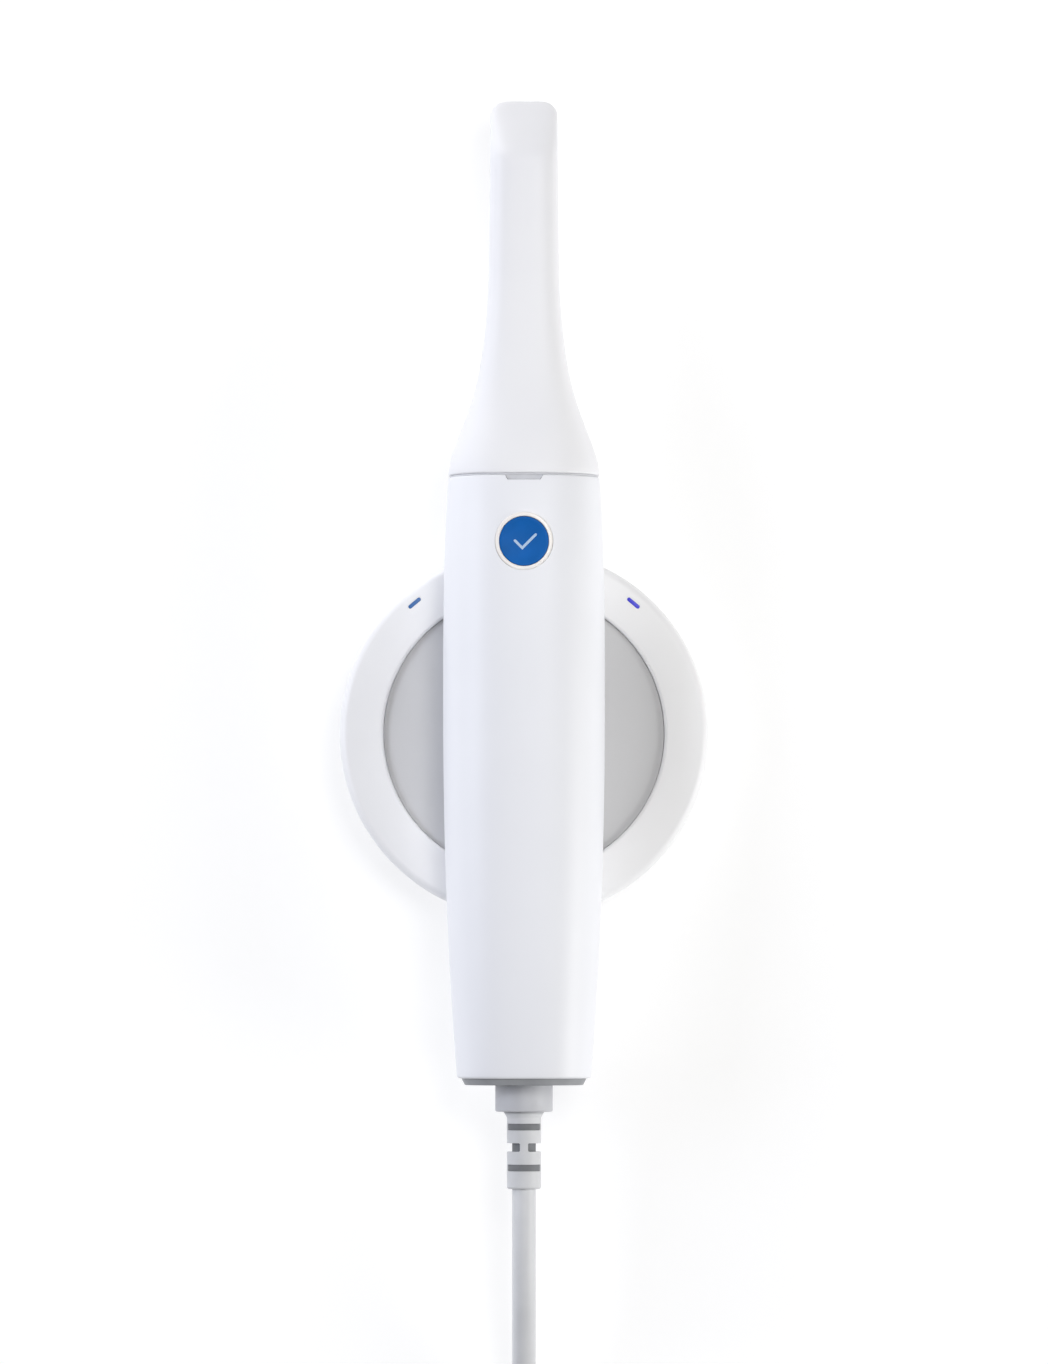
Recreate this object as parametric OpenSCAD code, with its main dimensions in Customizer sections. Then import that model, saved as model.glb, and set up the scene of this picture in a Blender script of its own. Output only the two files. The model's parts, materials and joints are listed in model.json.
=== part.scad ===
// Intraoral camera: a wired scanning handpiece with a slide-off tip, lying in its round desk cradle.
// The origin is the centre of the cradle's underside, +Y points to the tip and +Z up. Millimetres.

/* [Handle] */
// Length of the handle, from the tip seam to the cord end
handle_l = 163.5; // [120:0.1:200]
// Width of the handle at its widest
handle_w = 43.6; // [35:0.1:55]
// Depth of the handle at its deepest, button side to back
handle_d = 45; // [38:0.1:56]
// Distance from the cradle's centre forward to the tip seam
seam_y = 68.5; // [55:0.1:90]
// Distance from the cradle's centre forward to the handle's widest section
widest_y = 9; // [-10:0.1:25]
// How much narrower the handle is at the seam, both sides together
seam_narrowing = 2.8; // [0:0.1:8]
// How much narrower the handle is at the cord end, both sides together
heel_narrowing = 7.8; // [0:0.1:14]
// How far the button side falls towards the seam
seam_top_drop = 3; // [0:0.1:6]
// How far the back rises towards the seam
seam_back_rise = 4; // [0:0.1:8]
// How far the button side falls towards the cord end
heel_top_drop = 6; // [0:0.1:9]
// How far the back rises towards the cord end
heel_back_rise = 4; // [0:0.1:8]
// Wall of the two handle shells
shell_wall = 2.4; // [1.6:0.1:3.4]
// Rounding of the cord end's edge
heel_fillet = 2.1; // [0.5:0.1:2.2]
// Rounding of the edge at the seam
seam_fillet = 0.5; // [0.2:0.1:1]
// Width of the notch in the handle's edge, at the edge
notch_w = 10.4; // [6:0.1:14]
// Depth of the notch
notch_l = 1.3; // [0.8:0.1:2.4]

/* [Button] */
// Distance from the seam back to the button's centre
button_back = 17.9; // [13:0.1:30]
// Radius of the button's cap
button_r = 6.6; // [4:0.1:8]
// Width of the bezel round the cap
bezel_w = 1.05; // [0.8:0.05:2]
// How far the cap's face is hollowed
dish_depth = 0.7; // [0.3:0.05:0.8]
// Travel of the button
button_travel = 0.6; // [0.3:0.05:0.9]
// Width of the tick's stroke
tick_w = 0.7; // [0.4:0.05:1.2]

/* [Tip] */
// Length of the tip, seam to end
tip_l = 102.1; // [85:0.1:125]
// Gap between the tip and the handle at the seam
seam_gap = 0.5; // [0.3:0.05:1]
// Width of the slim wand at its middle
wand_w = 19; // [15:0.1:24]
// Depth of the slim wand
wand_d = 16; // [14:0.1:21]
// Height of the wand's centre over the centre of the seam
wand_lift = 1; // [-1:0.1:3]
// Length of the neck that widens to the seam
neck_l = 56; // [44:0.5:66]
// Wall of the tip
tip_wall = 1.6; // [1.2:0.05:2.2]
// Length of the slanted end that holds the mirror
bevel_l = 14.5; // [11:0.1:15]
// Length of the scan window
window_l = 12.5; // [9:0.1:14]
// Distance from the scan window's edge to the wand's inner wall
window_margin = 1.9; // [1:0.1:3]
// Distance from the mirror's edge to the wand's inner wall
mirror_margin = 2.5; // [2.3:0.1:3.5]
// Thickness of the mirror glass
mirror_t = 1; // [0.6:0.1:1.5]

/* [Nose] */
// Radius of the round spigot that carries the tip
spigot_r = 14; // [11.5:0.05:14.5]
// Length of the spigot in front of the seam
spigot_l = 9; // [6:0.1:11]
// Length of the whole nose in front of the seam
nose_l = 26.5; // [20:0.1:30]
// Radius of the nose at its end
nose_end_r = 7.8; // [6.5:0.1:8.2]
// Radial clearance of the tip's sleeve on the spigot
sleeve_fit = 0.05; // [0.02:0.01:0.09]
// Length of the sleeve inside the tip
sleeve_l = 7; // [5:0.1:8.5]

/* [Cradle] */
// Radius of the cradle
cradle_r = 50; // [44:0.1:62]
// Height of the cradle's ring
cradle_h = 21; // [17:0.1:25]
// Radius of the grey insert's recess
recess_r = 38.2; // [32:0.1:45]
// Depth of the recess below the ring
recess_d = 1.6; // [0.5:0.1:3]
// Rounding of the ring's outer edge
ring_fillet = 2.2; // [0.5:0.1:3]
// Height of the handle's back over the table
back_z = 8; // [7.2:0.1:12]
// Clearance of the handle in its trough
trough_gap = 0.35; // [0.2:0.05:0.6]
// Wall of the ring
ring_wall = 2.4; // [1.6:0.1:3.4]
// Thickness of the ballast plate
ballast_t = 2.8; // [1.5:0.1:3.2]
// Radius of the rubber sole
sole_r = 36; // [28:0.1:38.5]
// Height that the sole lifts the base
sole_h = 1; // [0.6:0.1:1.6]

/* [Cord] */
// Diameter of the cord
cord_d = 6.4; // [5:0.1:7.7]
// Radius of the gland at the handle's end
gland_r = 7.75; // [6:0.05:9]
// Length of the gland outside the handle
gland_l = 7.2; // [4:0.1:12]
// Radius of the slotted strain relief
relief_r = 4.6; // [4.2:0.05:6]
// Length of the strain relief
relief_l = 20.8; // [14:0.1:30]
// Height of a slot in the strain relief, along the cord
slot_l = 1.8; // [1:0.1:3]
// Distance from the gland to the middle of the first row of slots
slot_start = 4.1; // [3:0.1:8]
// Spacing of the slots along the cord
slot_pitch = 5.5; // [4:0.1:7]
// Width of the two ribs that bridge each slot
slot_rib = 2.2; // [1.4:0.1:3]

/* [Clearances] */
// Gap round pieces that drop into a seat
seat_gap = 0.15; // [0.05:0.05:0.3]
// Radial gap round a barrel in its hole
barrel_gap = 0.05; // [0.02:0.01:0.1]

/* [Hidden] */
$fn = 96;
eps = 0.01;

// Handle outline: every section is a superellipse between a top and a back height
heel_y = seam_y - handle_l;
section_power = 2.6;
seam_ease = 3;
heel_ease = 2.2;
top_z = back_z + handle_d;
half_steps = 26;

function ease(y) = y > widest_y
    ? pow((y - widest_y) / (seam_y - widest_y), seam_ease)
    : pow((widest_y - y) / (widest_y - heel_y), heel_ease);
function half_width(y) = handle_w / 2 - ease(y) * (y > widest_y ? seam_narrowing : heel_narrowing) / 2;
function top_at(y) = top_z - ease(y) * (y > widest_y ? seam_top_drop : heel_top_drop);
function back_at(y) = back_z + ease(y) * (y > widest_y ? seam_back_rise : heel_back_rise);
function centre_at(y) = (top_at(y) + back_at(y)) / 2;

function signed_pow(v, p) = sign(v) * pow(abs(v), p);
// One point of a superellipse, [x, z]
function oval(hw, zt, zb, n, t) = [
    hw * signed_pow(cos(t), 2 / n),
    (zt + zb) / 2 + (zt - zb) / 2 * signed_pow(sin(t), 2 / n)];
// The handle's section at y, drawn in by inset
function handle_point(y, inset, t) =
    oval(half_width(y) - inset, top_at(y) - inset, back_at(y) + inset, section_power, t);
function handle_ring(y, inset, a, b, steps) = [
    for (i = [0:steps]) let (p = handle_point(y, inset, a + (b - a) * i / steps)) [p[0], y, p[1]]];

// Stations along the handle, [y, outer inset]: a quarter round at each end, even steps between
round_steps = 5;
shell_stations = concat(
    [for (i = [0:round_steps]) let (a = 90 * i / round_steps)
        [heel_y + heel_fillet * (1 - cos(a)), heel_fillet * (1 - sin(a))]],
    [for (i = [1:15]) [heel_y + heel_fillet + (handle_l - heel_fillet - seam_fillet) * i / 16, 0]],
    [for (i = [0:3]) let (a = 30 * i)
        [seam_y - seam_fillet * (1 - sin(a)), seam_fillet * (1 - cos(a))]]);

// Skins a closed solid over rings that all have the same number of points
module skin(rings, closed_ends = true) {
    n = len(rings[0]);
    m = len(rings);
    points = [for (r = rings) each r];
    sides = [for (i = [0:m - 2]) for (j = [0:n - 1]) let (k = (j + 1) % n)
        each [[i * n + j, i * n + k, (i + 1) * n + j], [i * n + k, (i + 1) * n + k, (i + 1) * n + j]]];
    // A ring here runs out along one wall and back along the other, so its end closes in strips
    ends = [for (j = [0:n / 2 - 2]) let (k = n - 1 - j, e = (m - 1) * n)
        each [[j, k, k - 1], [j, k - 1, j + 1], [e + j, e + k - 1, e + k], [e + j, e + j + 1, e + k - 1]]];
    polyhedron(points, concat(sides, ends), convexity = 8);
}

// Half of the handle's casing, between the angles a and b of its section
module casing_half(a, b) {
    skin([for (s = shell_stations) concat(
        handle_ring(s[0], s[1], a, b, half_steps),
        handle_ring(s[0], shell_wall, b, a, half_steps))]);
}

// A solid that fills the handle's section between two heights, drawn in by inset
module handle_core(y0, y1, inset, steps) {
    skin([for (i = [0:steps]) let (y = y0 + (y1 - y0) * i / steps) concat(
        handle_ring(y, inset, 0, 180, half_steps), handle_ring(y, inset, 180, 360, half_steps))]);
}

// Turns a solid so that its z runs along y, and sets it at [x, y, z]
module along_y(x, y, z) { translate([x, y, z]) rotate([-90, 0, 0]) children(); }
// A straight round piece along y, from y0 to y1
module rod(x, z, r, y0, y1) { along_y(x, y0, z) cylinder(r = r, h = y1 - y0); }
// A block between two corners
module block(a, b) { translate(a) cube(b - a); }

// Button
button_y = seam_y - button_back;
button_top = top_at(button_y) - 0.1;
bezel_r = button_r + seat_gap + bezel_w;
cap_t = 2.2;
stem_r = 2;
stem_l = 2.6;
switch_gap = 0.35;
pocket_t = 0.35;
dish_r = (pow(button_r - 0.5, 2) + pow(dish_depth, 2)) / (2 * dish_depth);
flange_h = 1.2;
bezel_flange_r = bezel_r + 1.4;
// Lowest height of the casing's inner face over the bezel's flange
function under_crown(x, y) = centre_at(y) + (top_at(y) - shell_wall - centre_at(y))
    * pow(1 - pow(x / (half_width(y) - shell_wall), section_power), 1 / section_power);
crown_z = min([for (a = [0:15:90]) under_crown(bezel_flange_r * cos(a), button_y + bezel_flange_r * sin(a))]);
stem_foot = min(button_top - cap_t - stem_l, crown_z - flange_h - seat_gap);
switch_top = stem_foot - button_travel - switch_gap;
switch_h = 2;
pcb_t = 1.6;

// Nose and optics
nose_z = centre_at(seam_y);
bulkhead_t = 2.2;
bulkhead_y = seam_y - 0.4 - bulkhead_t;
flange_t = 2;
flange_r = spigot_r + 1.2;
screw_off = (spigot_r + 2.5) / sqrt(2);
nose_front = seam_y + nose_l;
barrel_front = seam_y + spigot_l - 1.5;
// Three barrels share the nose's bore: two cameras above, the projector below
nose_bore = spigot_r - 2;
camera_r = 0.35 * nose_bore;
camera_x = 0.45 * nose_bore;
camera_z = nose_z + camera_r;
projector_r = 0.38 * nose_bore;
projector_z = nose_z - 0.433 * nose_bore;
frame_y0 = seam_y - 42;
frame_y1 = bulkhead_y - flange_t;
frame_x = screw_off + 0.95;
frame_z0 = nose_z - spigot_r;
frame_z1 = switch_top - switch_h - pcb_t;
frame_t = 3;
foot_gap = 0.8;
front_wall_y = frame_y1 - 4;

// Chassis and main board
rail_t = 2;
standoff_h = 4;
cord_z = centre_at(heel_y);
cord_r = cord_d / 2;
// The board passes below the cord
rail_z = min(frame_z0 + 1, cord_z - cord_r - 0.6 - pcb_t - standoff_h - rail_t);
rail_x = 11;
board_z = rail_z + rail_t + standoff_h;
board_x = 13;
cap_inner_y = heel_y + shell_wall;
clamp_t = 5;
board_y0 = cap_inner_y + clamp_t + 1;
board_y1 = frame_y0 - 8;
bore_gap = 0.05;

// ---- cradle ----
base_top = sole_h + 2;
sole_inset = 0.6;
pad_top = cradle_h - recess_d;
screw_ring_r = (recess_r + cradle_r) / 2 + 0.2;
screw_angles = [35, 145, 215, 325];
pad_gap = 0.2;

// The space that the handle's back takes in the cradle, with its clearance
module trough() {
    reach = cradle_r + 4;
    skin([for (i = [0:8]) let (y = -reach + 2 * reach * i / 8, w = half_width(y) + trough_gap) concat(
        handle_ring(y, -trough_gap, 180, 360, half_steps),
        [for (k = [0:half_steps]) [w * (1 - 2 * k / half_steps), y, top_z]])]);
}
// Both side wings of a hollow that stays clear of the trough
module wings(inner_r, outer_r, z0, z1) {
    side = handle_w / 2 + 3.5;
    intersection() {
        difference() {
            translate([0, 0, z0]) cylinder(r = outer_r, h = z1 - z0);
            if (inner_r > 0) translate([0, 0, z0 - 1]) cylinder(r = inner_r, h = z1 - z0 + 2);
        }
        union() {
            block([side, -cradle_r, z0 - 2], [cradle_r + 5, cradle_r, z1 + 2]);
            block([-cradle_r - 5, -cradle_r, z0 - 2], [-side, cradle_r, z1 + 2]);
        }
    }
}
module screw_places() { for (a = screw_angles) rotate(a) translate([screw_ring_r, 0, 0]) children(); }

module cradle_sole() { color("dimgray") cylinder(r = sole_r, h = sole_h + sole_inset); }
module cradle_base() {
    color("gainsboro") difference() {
        translate([0, 0, sole_h]) cylinder(r = cradle_r - ring_wall - seat_gap, h = base_top - sole_h);
        cylinder(r = sole_r + 0.1, h = sole_h + sole_inset);
        screw_places() {
            cylinder(r = 1.6, h = 9);
            cylinder(r = 2.7, h = sole_h + 1.1);
        }
    }
}
module cradle_ballast() {
    color("silver") translate([0, 0, base_top]) cylinder(r = recess_r - 4, h = ballast_t);
}
module cradle_ring() {
    skirt_r = recess_r;
    wing_top = cradle_h - ring_wall;
    color("whitesmoke") difference() {
        rotate_extrude() difference() {
            union() {
                translate([skirt_r, sole_h + 0.4])
                    square([cradle_r - skirt_r, cradle_h - ring_fillet - sole_h - 0.4]);
                translate([skirt_r, cradle_h - ring_fillet])
                    square([cradle_r - ring_fillet - skirt_r, ring_fillet]);
                translate([cradle_r - ring_fillet, cradle_h - ring_fillet]) intersection() {
                    circle(r = ring_fillet);
                    square(ring_fillet);
                }
            }
            translate([0, -1]) square([cradle_r - ring_wall, base_top + 1]);
        }
        trough();
        wings(skirt_r + ring_wall, cradle_r - ring_wall, base_top - 1, wing_top);
        screw_places() cylinder(r = 1.25, h = base_top + 6);
        for (side = [-1, 1]) mark_place(side) mark_solid(0.05);
    }
    color("whitesmoke") screw_places() difference() {
        translate([0, 0, base_top]) cylinder(r = 3, h = wing_top + 0.5 - base_top);
        translate([0, 0, base_top - 1]) cylinder(r = 1.25, h = 7);
    }
}
module cradle_pad() {
    color("darkgray") difference() {
        translate([0, 0, base_top + ballast_t])
            cylinder(r = recess_r - pad_gap, h = pad_top - base_top - ballast_t);
        trough();
        wings(0, recess_r - pad_gap - 2.4, base_top + ballast_t - 1, pad_top - 3);
    }
}
module cradle_screws() {
    color("silver") screw_places() {
        translate([0, 0, sole_h + 0.2]) difference() {
            cylinder(r = 2.5, h = 0.9);
            translate([0, 0, -1]) cylinder(r = 1, h = 1.5, $fn = 6);
        }
        translate([0, 0, sole_h + 1.1]) cylinder(r = 1.2, h = base_top + 4.9 - sole_h);
    }
}
// The two coloured marks lie on the ring, either side of the handle
mark_angle = 40;
mark_l = 4.1;
mark_w = 1;
mark_t = 0.8;
module mark_place(side) {
    rotate(-side * mark_angle) translate([0, (recess_r + cradle_r) / 2 + 2, cradle_h - mark_t]) children();
}
module mark_solid(gap) {
    linear_extrude(mark_t + (gap > 0 ? 1 : 0)) union() {
        square([mark_l - mark_w + 2 * gap, mark_w + 2 * gap], center = true);
        for (x = [-1, 1]) translate([x * (mark_l - mark_w) / 2, 0]) circle(d = mark_w + 2 * gap);
    }
}
module mark_left() { color("steelblue") mark_place(-1) mark_solid(0); }
module mark_right() { color("royalblue") mark_place(1) mark_solid(0); }

// ---- handle casing ----
notch_slope = 0.8;
module notch() {
    linear_extrude(top_z + 5) polygon([
        [-notch_w / 2, seam_y + 1], [-notch_w / 2, seam_y], [notch_slope - notch_w / 2, seam_y - notch_l],
        [notch_w / 2 - notch_slope, seam_y - notch_l], [notch_w / 2, seam_y], [notch_w / 2, seam_y + 1]]);
}
module upper_shell() {
    color("white") difference() {
        casing_half(0, 180);
        translate([0, button_y, nose_z + 5]) cylinder(r = bezel_r + 0.1, h = handle_d);
        translate([0, 0, nose_z + 5]) notch();
    }
}
module lower_shell() { color("white") casing_half(180, 360); }
module heel_cap() {
    inset = shell_wall + seat_gap;
    color("gray") difference() {
        handle_core(heel_y, cap_inner_y, inset, 1);
        rod(0, cord_z, gland_r - 2 + bore_gap, heel_y - 1, cap_inner_y + 1);
        for (x = [-11, 11]) rod(x, cord_z, 1.3, heel_y - 1, cap_inner_y + 1);
        for (x = [-11, 11]) rod(x, cord_z, 2.4, heel_y - 1, heel_y + 1.2);
    }
}
module heel_screws() {
    color("silver") for (x = [-11, 11]) {
        rod(x, cord_z, 2.3, heel_y + 0.1, heel_y + 1.2);
        rod(x, cord_z, 1.2, heel_y + 1.2, cap_inner_y + 4);
    }
}
module front_bulkhead() {
    color("gray") difference() {
        handle_core(bulkhead_y, bulkhead_y + bulkhead_t, shell_wall + seat_gap, 1);
        rod(0, nose_z, spigot_r + bore_gap, bulkhead_y - 1, seam_y);
        for (x = [-1, 1]) for (z = [-1, 1])
            rod(x * screw_off, nose_z + z * screw_off, 1.1, bulkhead_y - 1, seam_y);
    }
}
module bulkhead_screws() {
    color("silver") for (x = [-1, 1]) for (z = [-1, 1]) {
        rod(x * screw_off, nose_z + z * screw_off, 1.7, bulkhead_y + bulkhead_t, bulkhead_y + bulkhead_t + 0.4);
        rod(x * screw_off, nose_z + z * screw_off, 1, frame_y1 - 3, bulkhead_y + bulkhead_t);
    }
}
module seam_gasket() {
    y = bulkhead_y + bulkhead_t;
    color("dimgray") difference() {
        handle_core(y, y + 0.5, shell_wall + seat_gap, 1);
        rod(0, nose_z, spigot_r + 0.3, y - 1, y + 2);
        for (x = [-1, 1]) for (z = [-1, 1]) rod(x * screw_off, nose_z + z * screw_off, 1.9, y - 1, y + 2);
    }
}

// ---- button ----
module dish(lift) {
    translate([0, 0, button_top - dish_depth + dish_r + lift]) sphere(r = dish_r);
}
module tick_outline(gap) {
    w = tick_w / 2 + gap;
    a = [-2.4, 0.1];
    b = [-0.46, -1.84];
    c = [3.1, 1.72];
    for (s = [[a, b], [b, c]]) let (d = s[1] - s[0])
        translate(s[0]) rotate(atan2(d[1], d[0])) translate([0, -w]) square([norm(d), 2 * w]);
    for (p = [a, b, c]) translate(p) circle(r = w);
}
module button_bezel() {
    color("white") translate([0, button_y, 0]) difference() {
        union() {
            translate([0, 0, stem_foot]) cylinder(r = bezel_r, h = button_top + 0.1 - stem_foot);
            translate([0, 0, stem_foot]) cylinder(r = bezel_flange_r, h = flange_h);
        }
        translate([0, 0, stem_foot + 1]) cylinder(r = button_r + seat_gap, h = 20);
        translate([0, 0, stem_foot - 1]) cylinder(r = stem_r + 0.3, h = 20);
    }
}
module button_cap() {
    color("royalblue") translate([0, button_y, 0]) difference() {
        union() {
            translate([0, 0, button_top - cap_t]) cylinder(r = button_r, h = cap_t);
            translate([0, 0, stem_foot]) cylinder(r = stem_r, h = button_top - cap_t - stem_foot);
        }
        dish(0);
        translate([0, 0, button_top - dish_depth - pocket_t]) linear_extrude(9) tick_outline(0);
    }
}
module button_tick() {
    color("lightsteelblue") translate([0, button_y, button_top - dish_depth - pocket_t])
        linear_extrude(pocket_t) tick_outline(0);
}
module switch_board() {
    color("seagreen") difference() {
        translate([0, button_y, frame_z1 + pcb_t / 2]) cube([22, 18, pcb_t], center = true);
        for (x = [-9, 9]) translate([x, button_y, frame_z1 - 1]) cylinder(r = 1.1, h = 4);
    }
}
module button_switch() {
    color("dimgray") translate([0, button_y, 0]) {
        translate([-3, -3, frame_z1 + pcb_t]) cube([6, 6, switch_h - 0.6]);
        translate([0, 0, switch_top - 0.6]) cylinder(r = 1.6, h = 0.6);
    }
}

// ---- nose and optics ----
module nose_barrel() {
    y0 = bulkhead_y - flange_t;
    tip_bore = nose_end_r - 1.3;
    glass_r = nose_end_r - 0.7;
    color("gainsboro") along_y(0, y0, nose_z) rotate_extrude() polygon([
        [nose_bore, 0], [flange_r, 0], [flange_r, flange_t], [spigot_r, flange_t],
        [spigot_r, bulkhead_y + 6.4 - y0], [spigot_r - 1, bulkhead_y + 6.4 - y0],
        [spigot_r - 1, bulkhead_y + 7.8 - y0], [spigot_r, bulkhead_y + 7.8 - y0],
        [spigot_r, seam_y + spigot_l - y0], [nose_end_r + 1.7, seam_y + spigot_l + 5 - y0],
        [nose_end_r, nose_front - y0], [glass_r, nose_front - y0], [glass_r, nose_front - 1.4 - y0],
        [tip_bore, nose_front - 1.4 - y0], [tip_bore, seam_y + spigot_l + 5 - y0],
        [nose_bore, seam_y + spigot_l - 1 - y0]]);
}
module nose_ring() {
    color("dimgray") along_y(0, bulkhead_y + 6.45, nose_z) difference() {
        cylinder(r = spigot_r, h = 1.3);
        translate([0, 0, -1]) cylinder(r = spigot_r - 0.95, h = 4);
    }
}
module nose_window() {
    color("lightcyan") rod(0, nose_z, nose_end_r - 0.75, nose_front - 1.35, nose_front - 0.3);
}
module optics_at(tool_r) {
    rod(0, projector_z, projector_r + tool_r, front_wall_y - 20, barrel_front);
    for (x = [-1, 1]) rod(x * camera_x, camera_z, camera_r + tool_r, front_wall_y - 16, barrel_front);
}
module optical_frame() {
    color("silver") difference() {
        block([-frame_x, frame_y0, frame_z0], [frame_x, frame_y1, frame_z1]);
        // The bay between the two end walls, open at both sides
        block([-frame_x - 1, frame_y0 + frame_t, frame_z0 + frame_t],
            [frame_x + 1, front_wall_y, frame_z1 - 2]);
        // The opening that the nose's flange and the barrels reach through
        optics_at(barrel_gap);
        for (x = [-9, 9]) translate([x, button_y, frame_z1 - 4]) cylinder(r = 0.9, h = 9);
        for (x = [-1, 1]) for (z = [-1, 1])
            rod(x * screw_off, nose_z + z * screw_off, 1, frame_y1 - 3, frame_y1 + 1);
    }
    // Two feet that stand on the lower shell
    color("silver") for (y = [frame_y0 + 6, frame_y1 - 8])
        block([-5, y - 3, max(back_at(y - 3), back_at(y + 3)) + shell_wall + foot_gap], [5, y + 3, frame_z0]);
}
module lens(r, t, bulge) {
    big = (r * r + bulge * bulge) / (2 * bulge);
    intersection() {
        cylinder(r = r, h = t);
        translate([0, 0, t - big]) sphere(r = big);
        translate([0, 0, big]) sphere(r = big);
    }
}
module tube_barrel(x, z, r, y0, y1) {
    difference() {
        rod(x, z, r, y0, y1);
        rod(x, z, r - 0.8, y0 - 1, y1 - 3);
        rod(x, z, r - 1.4, y0 - 1, y1 + 1);
        rod(x, z, r - 0.8, y1 - 2.2, y1 + 1);
    }
}
module camera_barrels() {
    color("dimgray") for (x = [-1, 1])
        tube_barrel(x * camera_x, camera_z, camera_r, front_wall_y - 16, barrel_front);
}
module camera_lenses() {
    color("lightcyan") for (x = [-1, 1])
        along_y(x * camera_x, barrel_front - 2.2, camera_z) lens(camera_r - 0.85, 1.8, 0.45);
}
module camera_boards() {
    y = front_wall_y - 16 - 0.8 - pcb_t;
    half_w = camera_x + camera_r + 0.8;
    half_h = camera_r + 0.4;
    color("seagreen") block([-half_w, y, camera_z - half_h], [half_w, y + pcb_t, camera_z + half_h]);
}
module image_sensors() {
    color("darkslategray") for (x = [-1, 1]) {
        y = front_wall_y - 16.8;
        block([x * camera_x - 2.4, y, camera_z - 2.2], [x * camera_x + 2.4, y + 0.7, camera_z + 2.2]);
    }
}
module projector_barrel() {
    color("dimgray") tube_barrel(0, projector_z, projector_r, front_wall_y - 20, barrel_front);
}
module projector_lens() {
    color("lightcyan") along_y(0, barrel_front - 2.2, projector_z) lens(projector_r - 0.85, 1.8, 0.5);
}
module pattern_chip() {
    y = front_wall_y - 20.9;
    color("darkslategray") block([-3, y, projector_z - 2.6], [3, y + 0.8, projector_z + 2.6]);
}
module light_board() {
    y = front_wall_y - 20.9 - pcb_t;
    half_h = projector_r + 0.44;
    color("seagreen") block([-7, y, projector_z - half_h], [7, y + pcb_t, projector_z + half_h]);
}
module heat_sink() {
    y1 = front_wall_y - 20.9 - pcb_t;
    y0 = frame_y0 + frame_t;
    color("silver") difference() {
        block([-8, y0, frame_z0 + frame_t], [8, y1, projector_z + 6]);
        for (i = [0:3]) translate([-6.5 + i * 3.8, y0 - 1, projector_z - 8]) cube([1.6, y1 - y0 - 1.5, 16]);
    }
}

// ---- chassis, boards and cord entry ----
module chassis_rail() {
    color("silver") difference() {
        union() {
            block([-rail_x, cap_inner_y, rail_z], [rail_x, frame_y0, rail_z + rail_t]);
            for (y = [board_y0 + 14, frame_y0 - 20]) {
                foot_z = max(back_at(y - 3), back_at(y + 3)) + shell_wall + foot_gap;
                block([-4, y - 3, foot_z], [4, y + 3, rail_z + 1]);
            }
        }
        for (x = [-8, 8]) for (y = [board_y0 + 5, board_y1 - 5])
            translate([x, y, rail_z - 1]) cylinder(r = 1, h = 6);
    }
}
module board_standoffs() {
    color("goldenrod") for (x = [-8, 8]) for (y = [board_y0 + 5, board_y1 - 5])
        translate([x, y, rail_z + rail_t]) difference() {
            cylinder(r = 2.2, h = board_z - rail_z - rail_t);
            translate([0, 0, -1]) cylinder(r = 1, h = 9);
        }
}
module main_board() {
    color("seagreen") difference() {
        block([-board_x, board_y0, board_z], [board_x, board_y1, board_z + pcb_t]);
        for (x = [-8, 8]) for (y = [board_y0 + 5, board_y1 - 5])
            translate([x, y, board_z - 1]) cylinder(r = 1.1, h = 4);
    }
}
// Board parts, [x, y from the board's rear, width, length, height]
board_parts = [[-4, 38, 14, 14, 1.6], [-8, 60, 9, 9, 1.2], [5, 58, 8, 10, 1.4], [6, 22, 6, 8, 1.1],
    [-9, 24, 3.4, 3.4, 2.6], [8, 76, 7, 5, 1.5], [-7, 80, 5, 7, 2.2]];
module board_chips() {
    color("darkslategray") for (p = board_parts)
        translate([p[0], board_y0 + p[1], board_z + pcb_t + p[4] / 2])
            cube([p[2], p[3], p[4]], center = true);
}
module board_socket() {
    color("ivory") block([-6, board_y0 + 0.5, board_z + pcb_t], [6, board_y0 + 10, cord_z + cord_r + 1]);
}
module haptic_motor() {
    color("silver") translate([8, board_y0 + 13, board_z + pcb_t]) cylinder(r = 3.5, h = 2.7);
}
module cord_clamp() {
    color("gray") difference() {
        block([-13.2, cap_inner_y, rail_z + rail_t], [13.2, cap_inner_y + clamp_t, cord_z + cord_r + 3]);
        rod(0, cord_z, cord_r + bore_gap, cap_inner_y - 1, cap_inner_y + clamp_t + 1);
        for (x = [-11, 11]) rod(x, cord_z, 1.2, cap_inner_y - 1, cap_inner_y + 4);
    }
}
module gland() {
    edge = 0.8;
    color("gray") along_y(0, heel_y - gland_l, cord_z) difference() {
        rotate_extrude() union() {
            translate([0, edge]) square([gland_r, gland_l - edge]);
            square([gland_r - edge, edge]);
            translate([gland_r - edge, edge]) intersection() {
                circle(r = edge);
                translate([0, -edge]) square(edge);
            }
            translate([0, gland_l]) square([gland_r - 2, shell_wall]);
        }
        translate([0, 0, -1]) cylinder(r = cord_r + bore_gap, h = gland_l + shell_wall + 2);
    }
}
relief_y1 = heel_y - gland_l;
relief_y0 = relief_y1 - relief_l;
module strain_relief() {
    // Each row of slots leaves two ribs, at the sides, then at the top and back, in turn
    reach = relief_r + 1;
    color("lightgray") difference() {
        rod(0, cord_z, relief_r, relief_y0, relief_y1);
        rod(0, cord_z, cord_r + bore_gap, relief_y0 - 1, relief_y1 + 1);
        for (row = [0:2]) along_y(0, relief_y1 - slot_start - slot_l / 2 - row * slot_pitch, cord_z)
            rotate(row == 1 ? 0 : 90) for (side = [-1, 1])
                translate([side * (slot_rib + reach) / 2, 0, slot_l / 2])
                    cube([reach, 2 * reach, slot_l], center = true);
    }
}
module cord_inner() { color("lightgray") rod(0, cord_z, cord_r, relief_y0, board_y0 + 0.5); }

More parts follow.
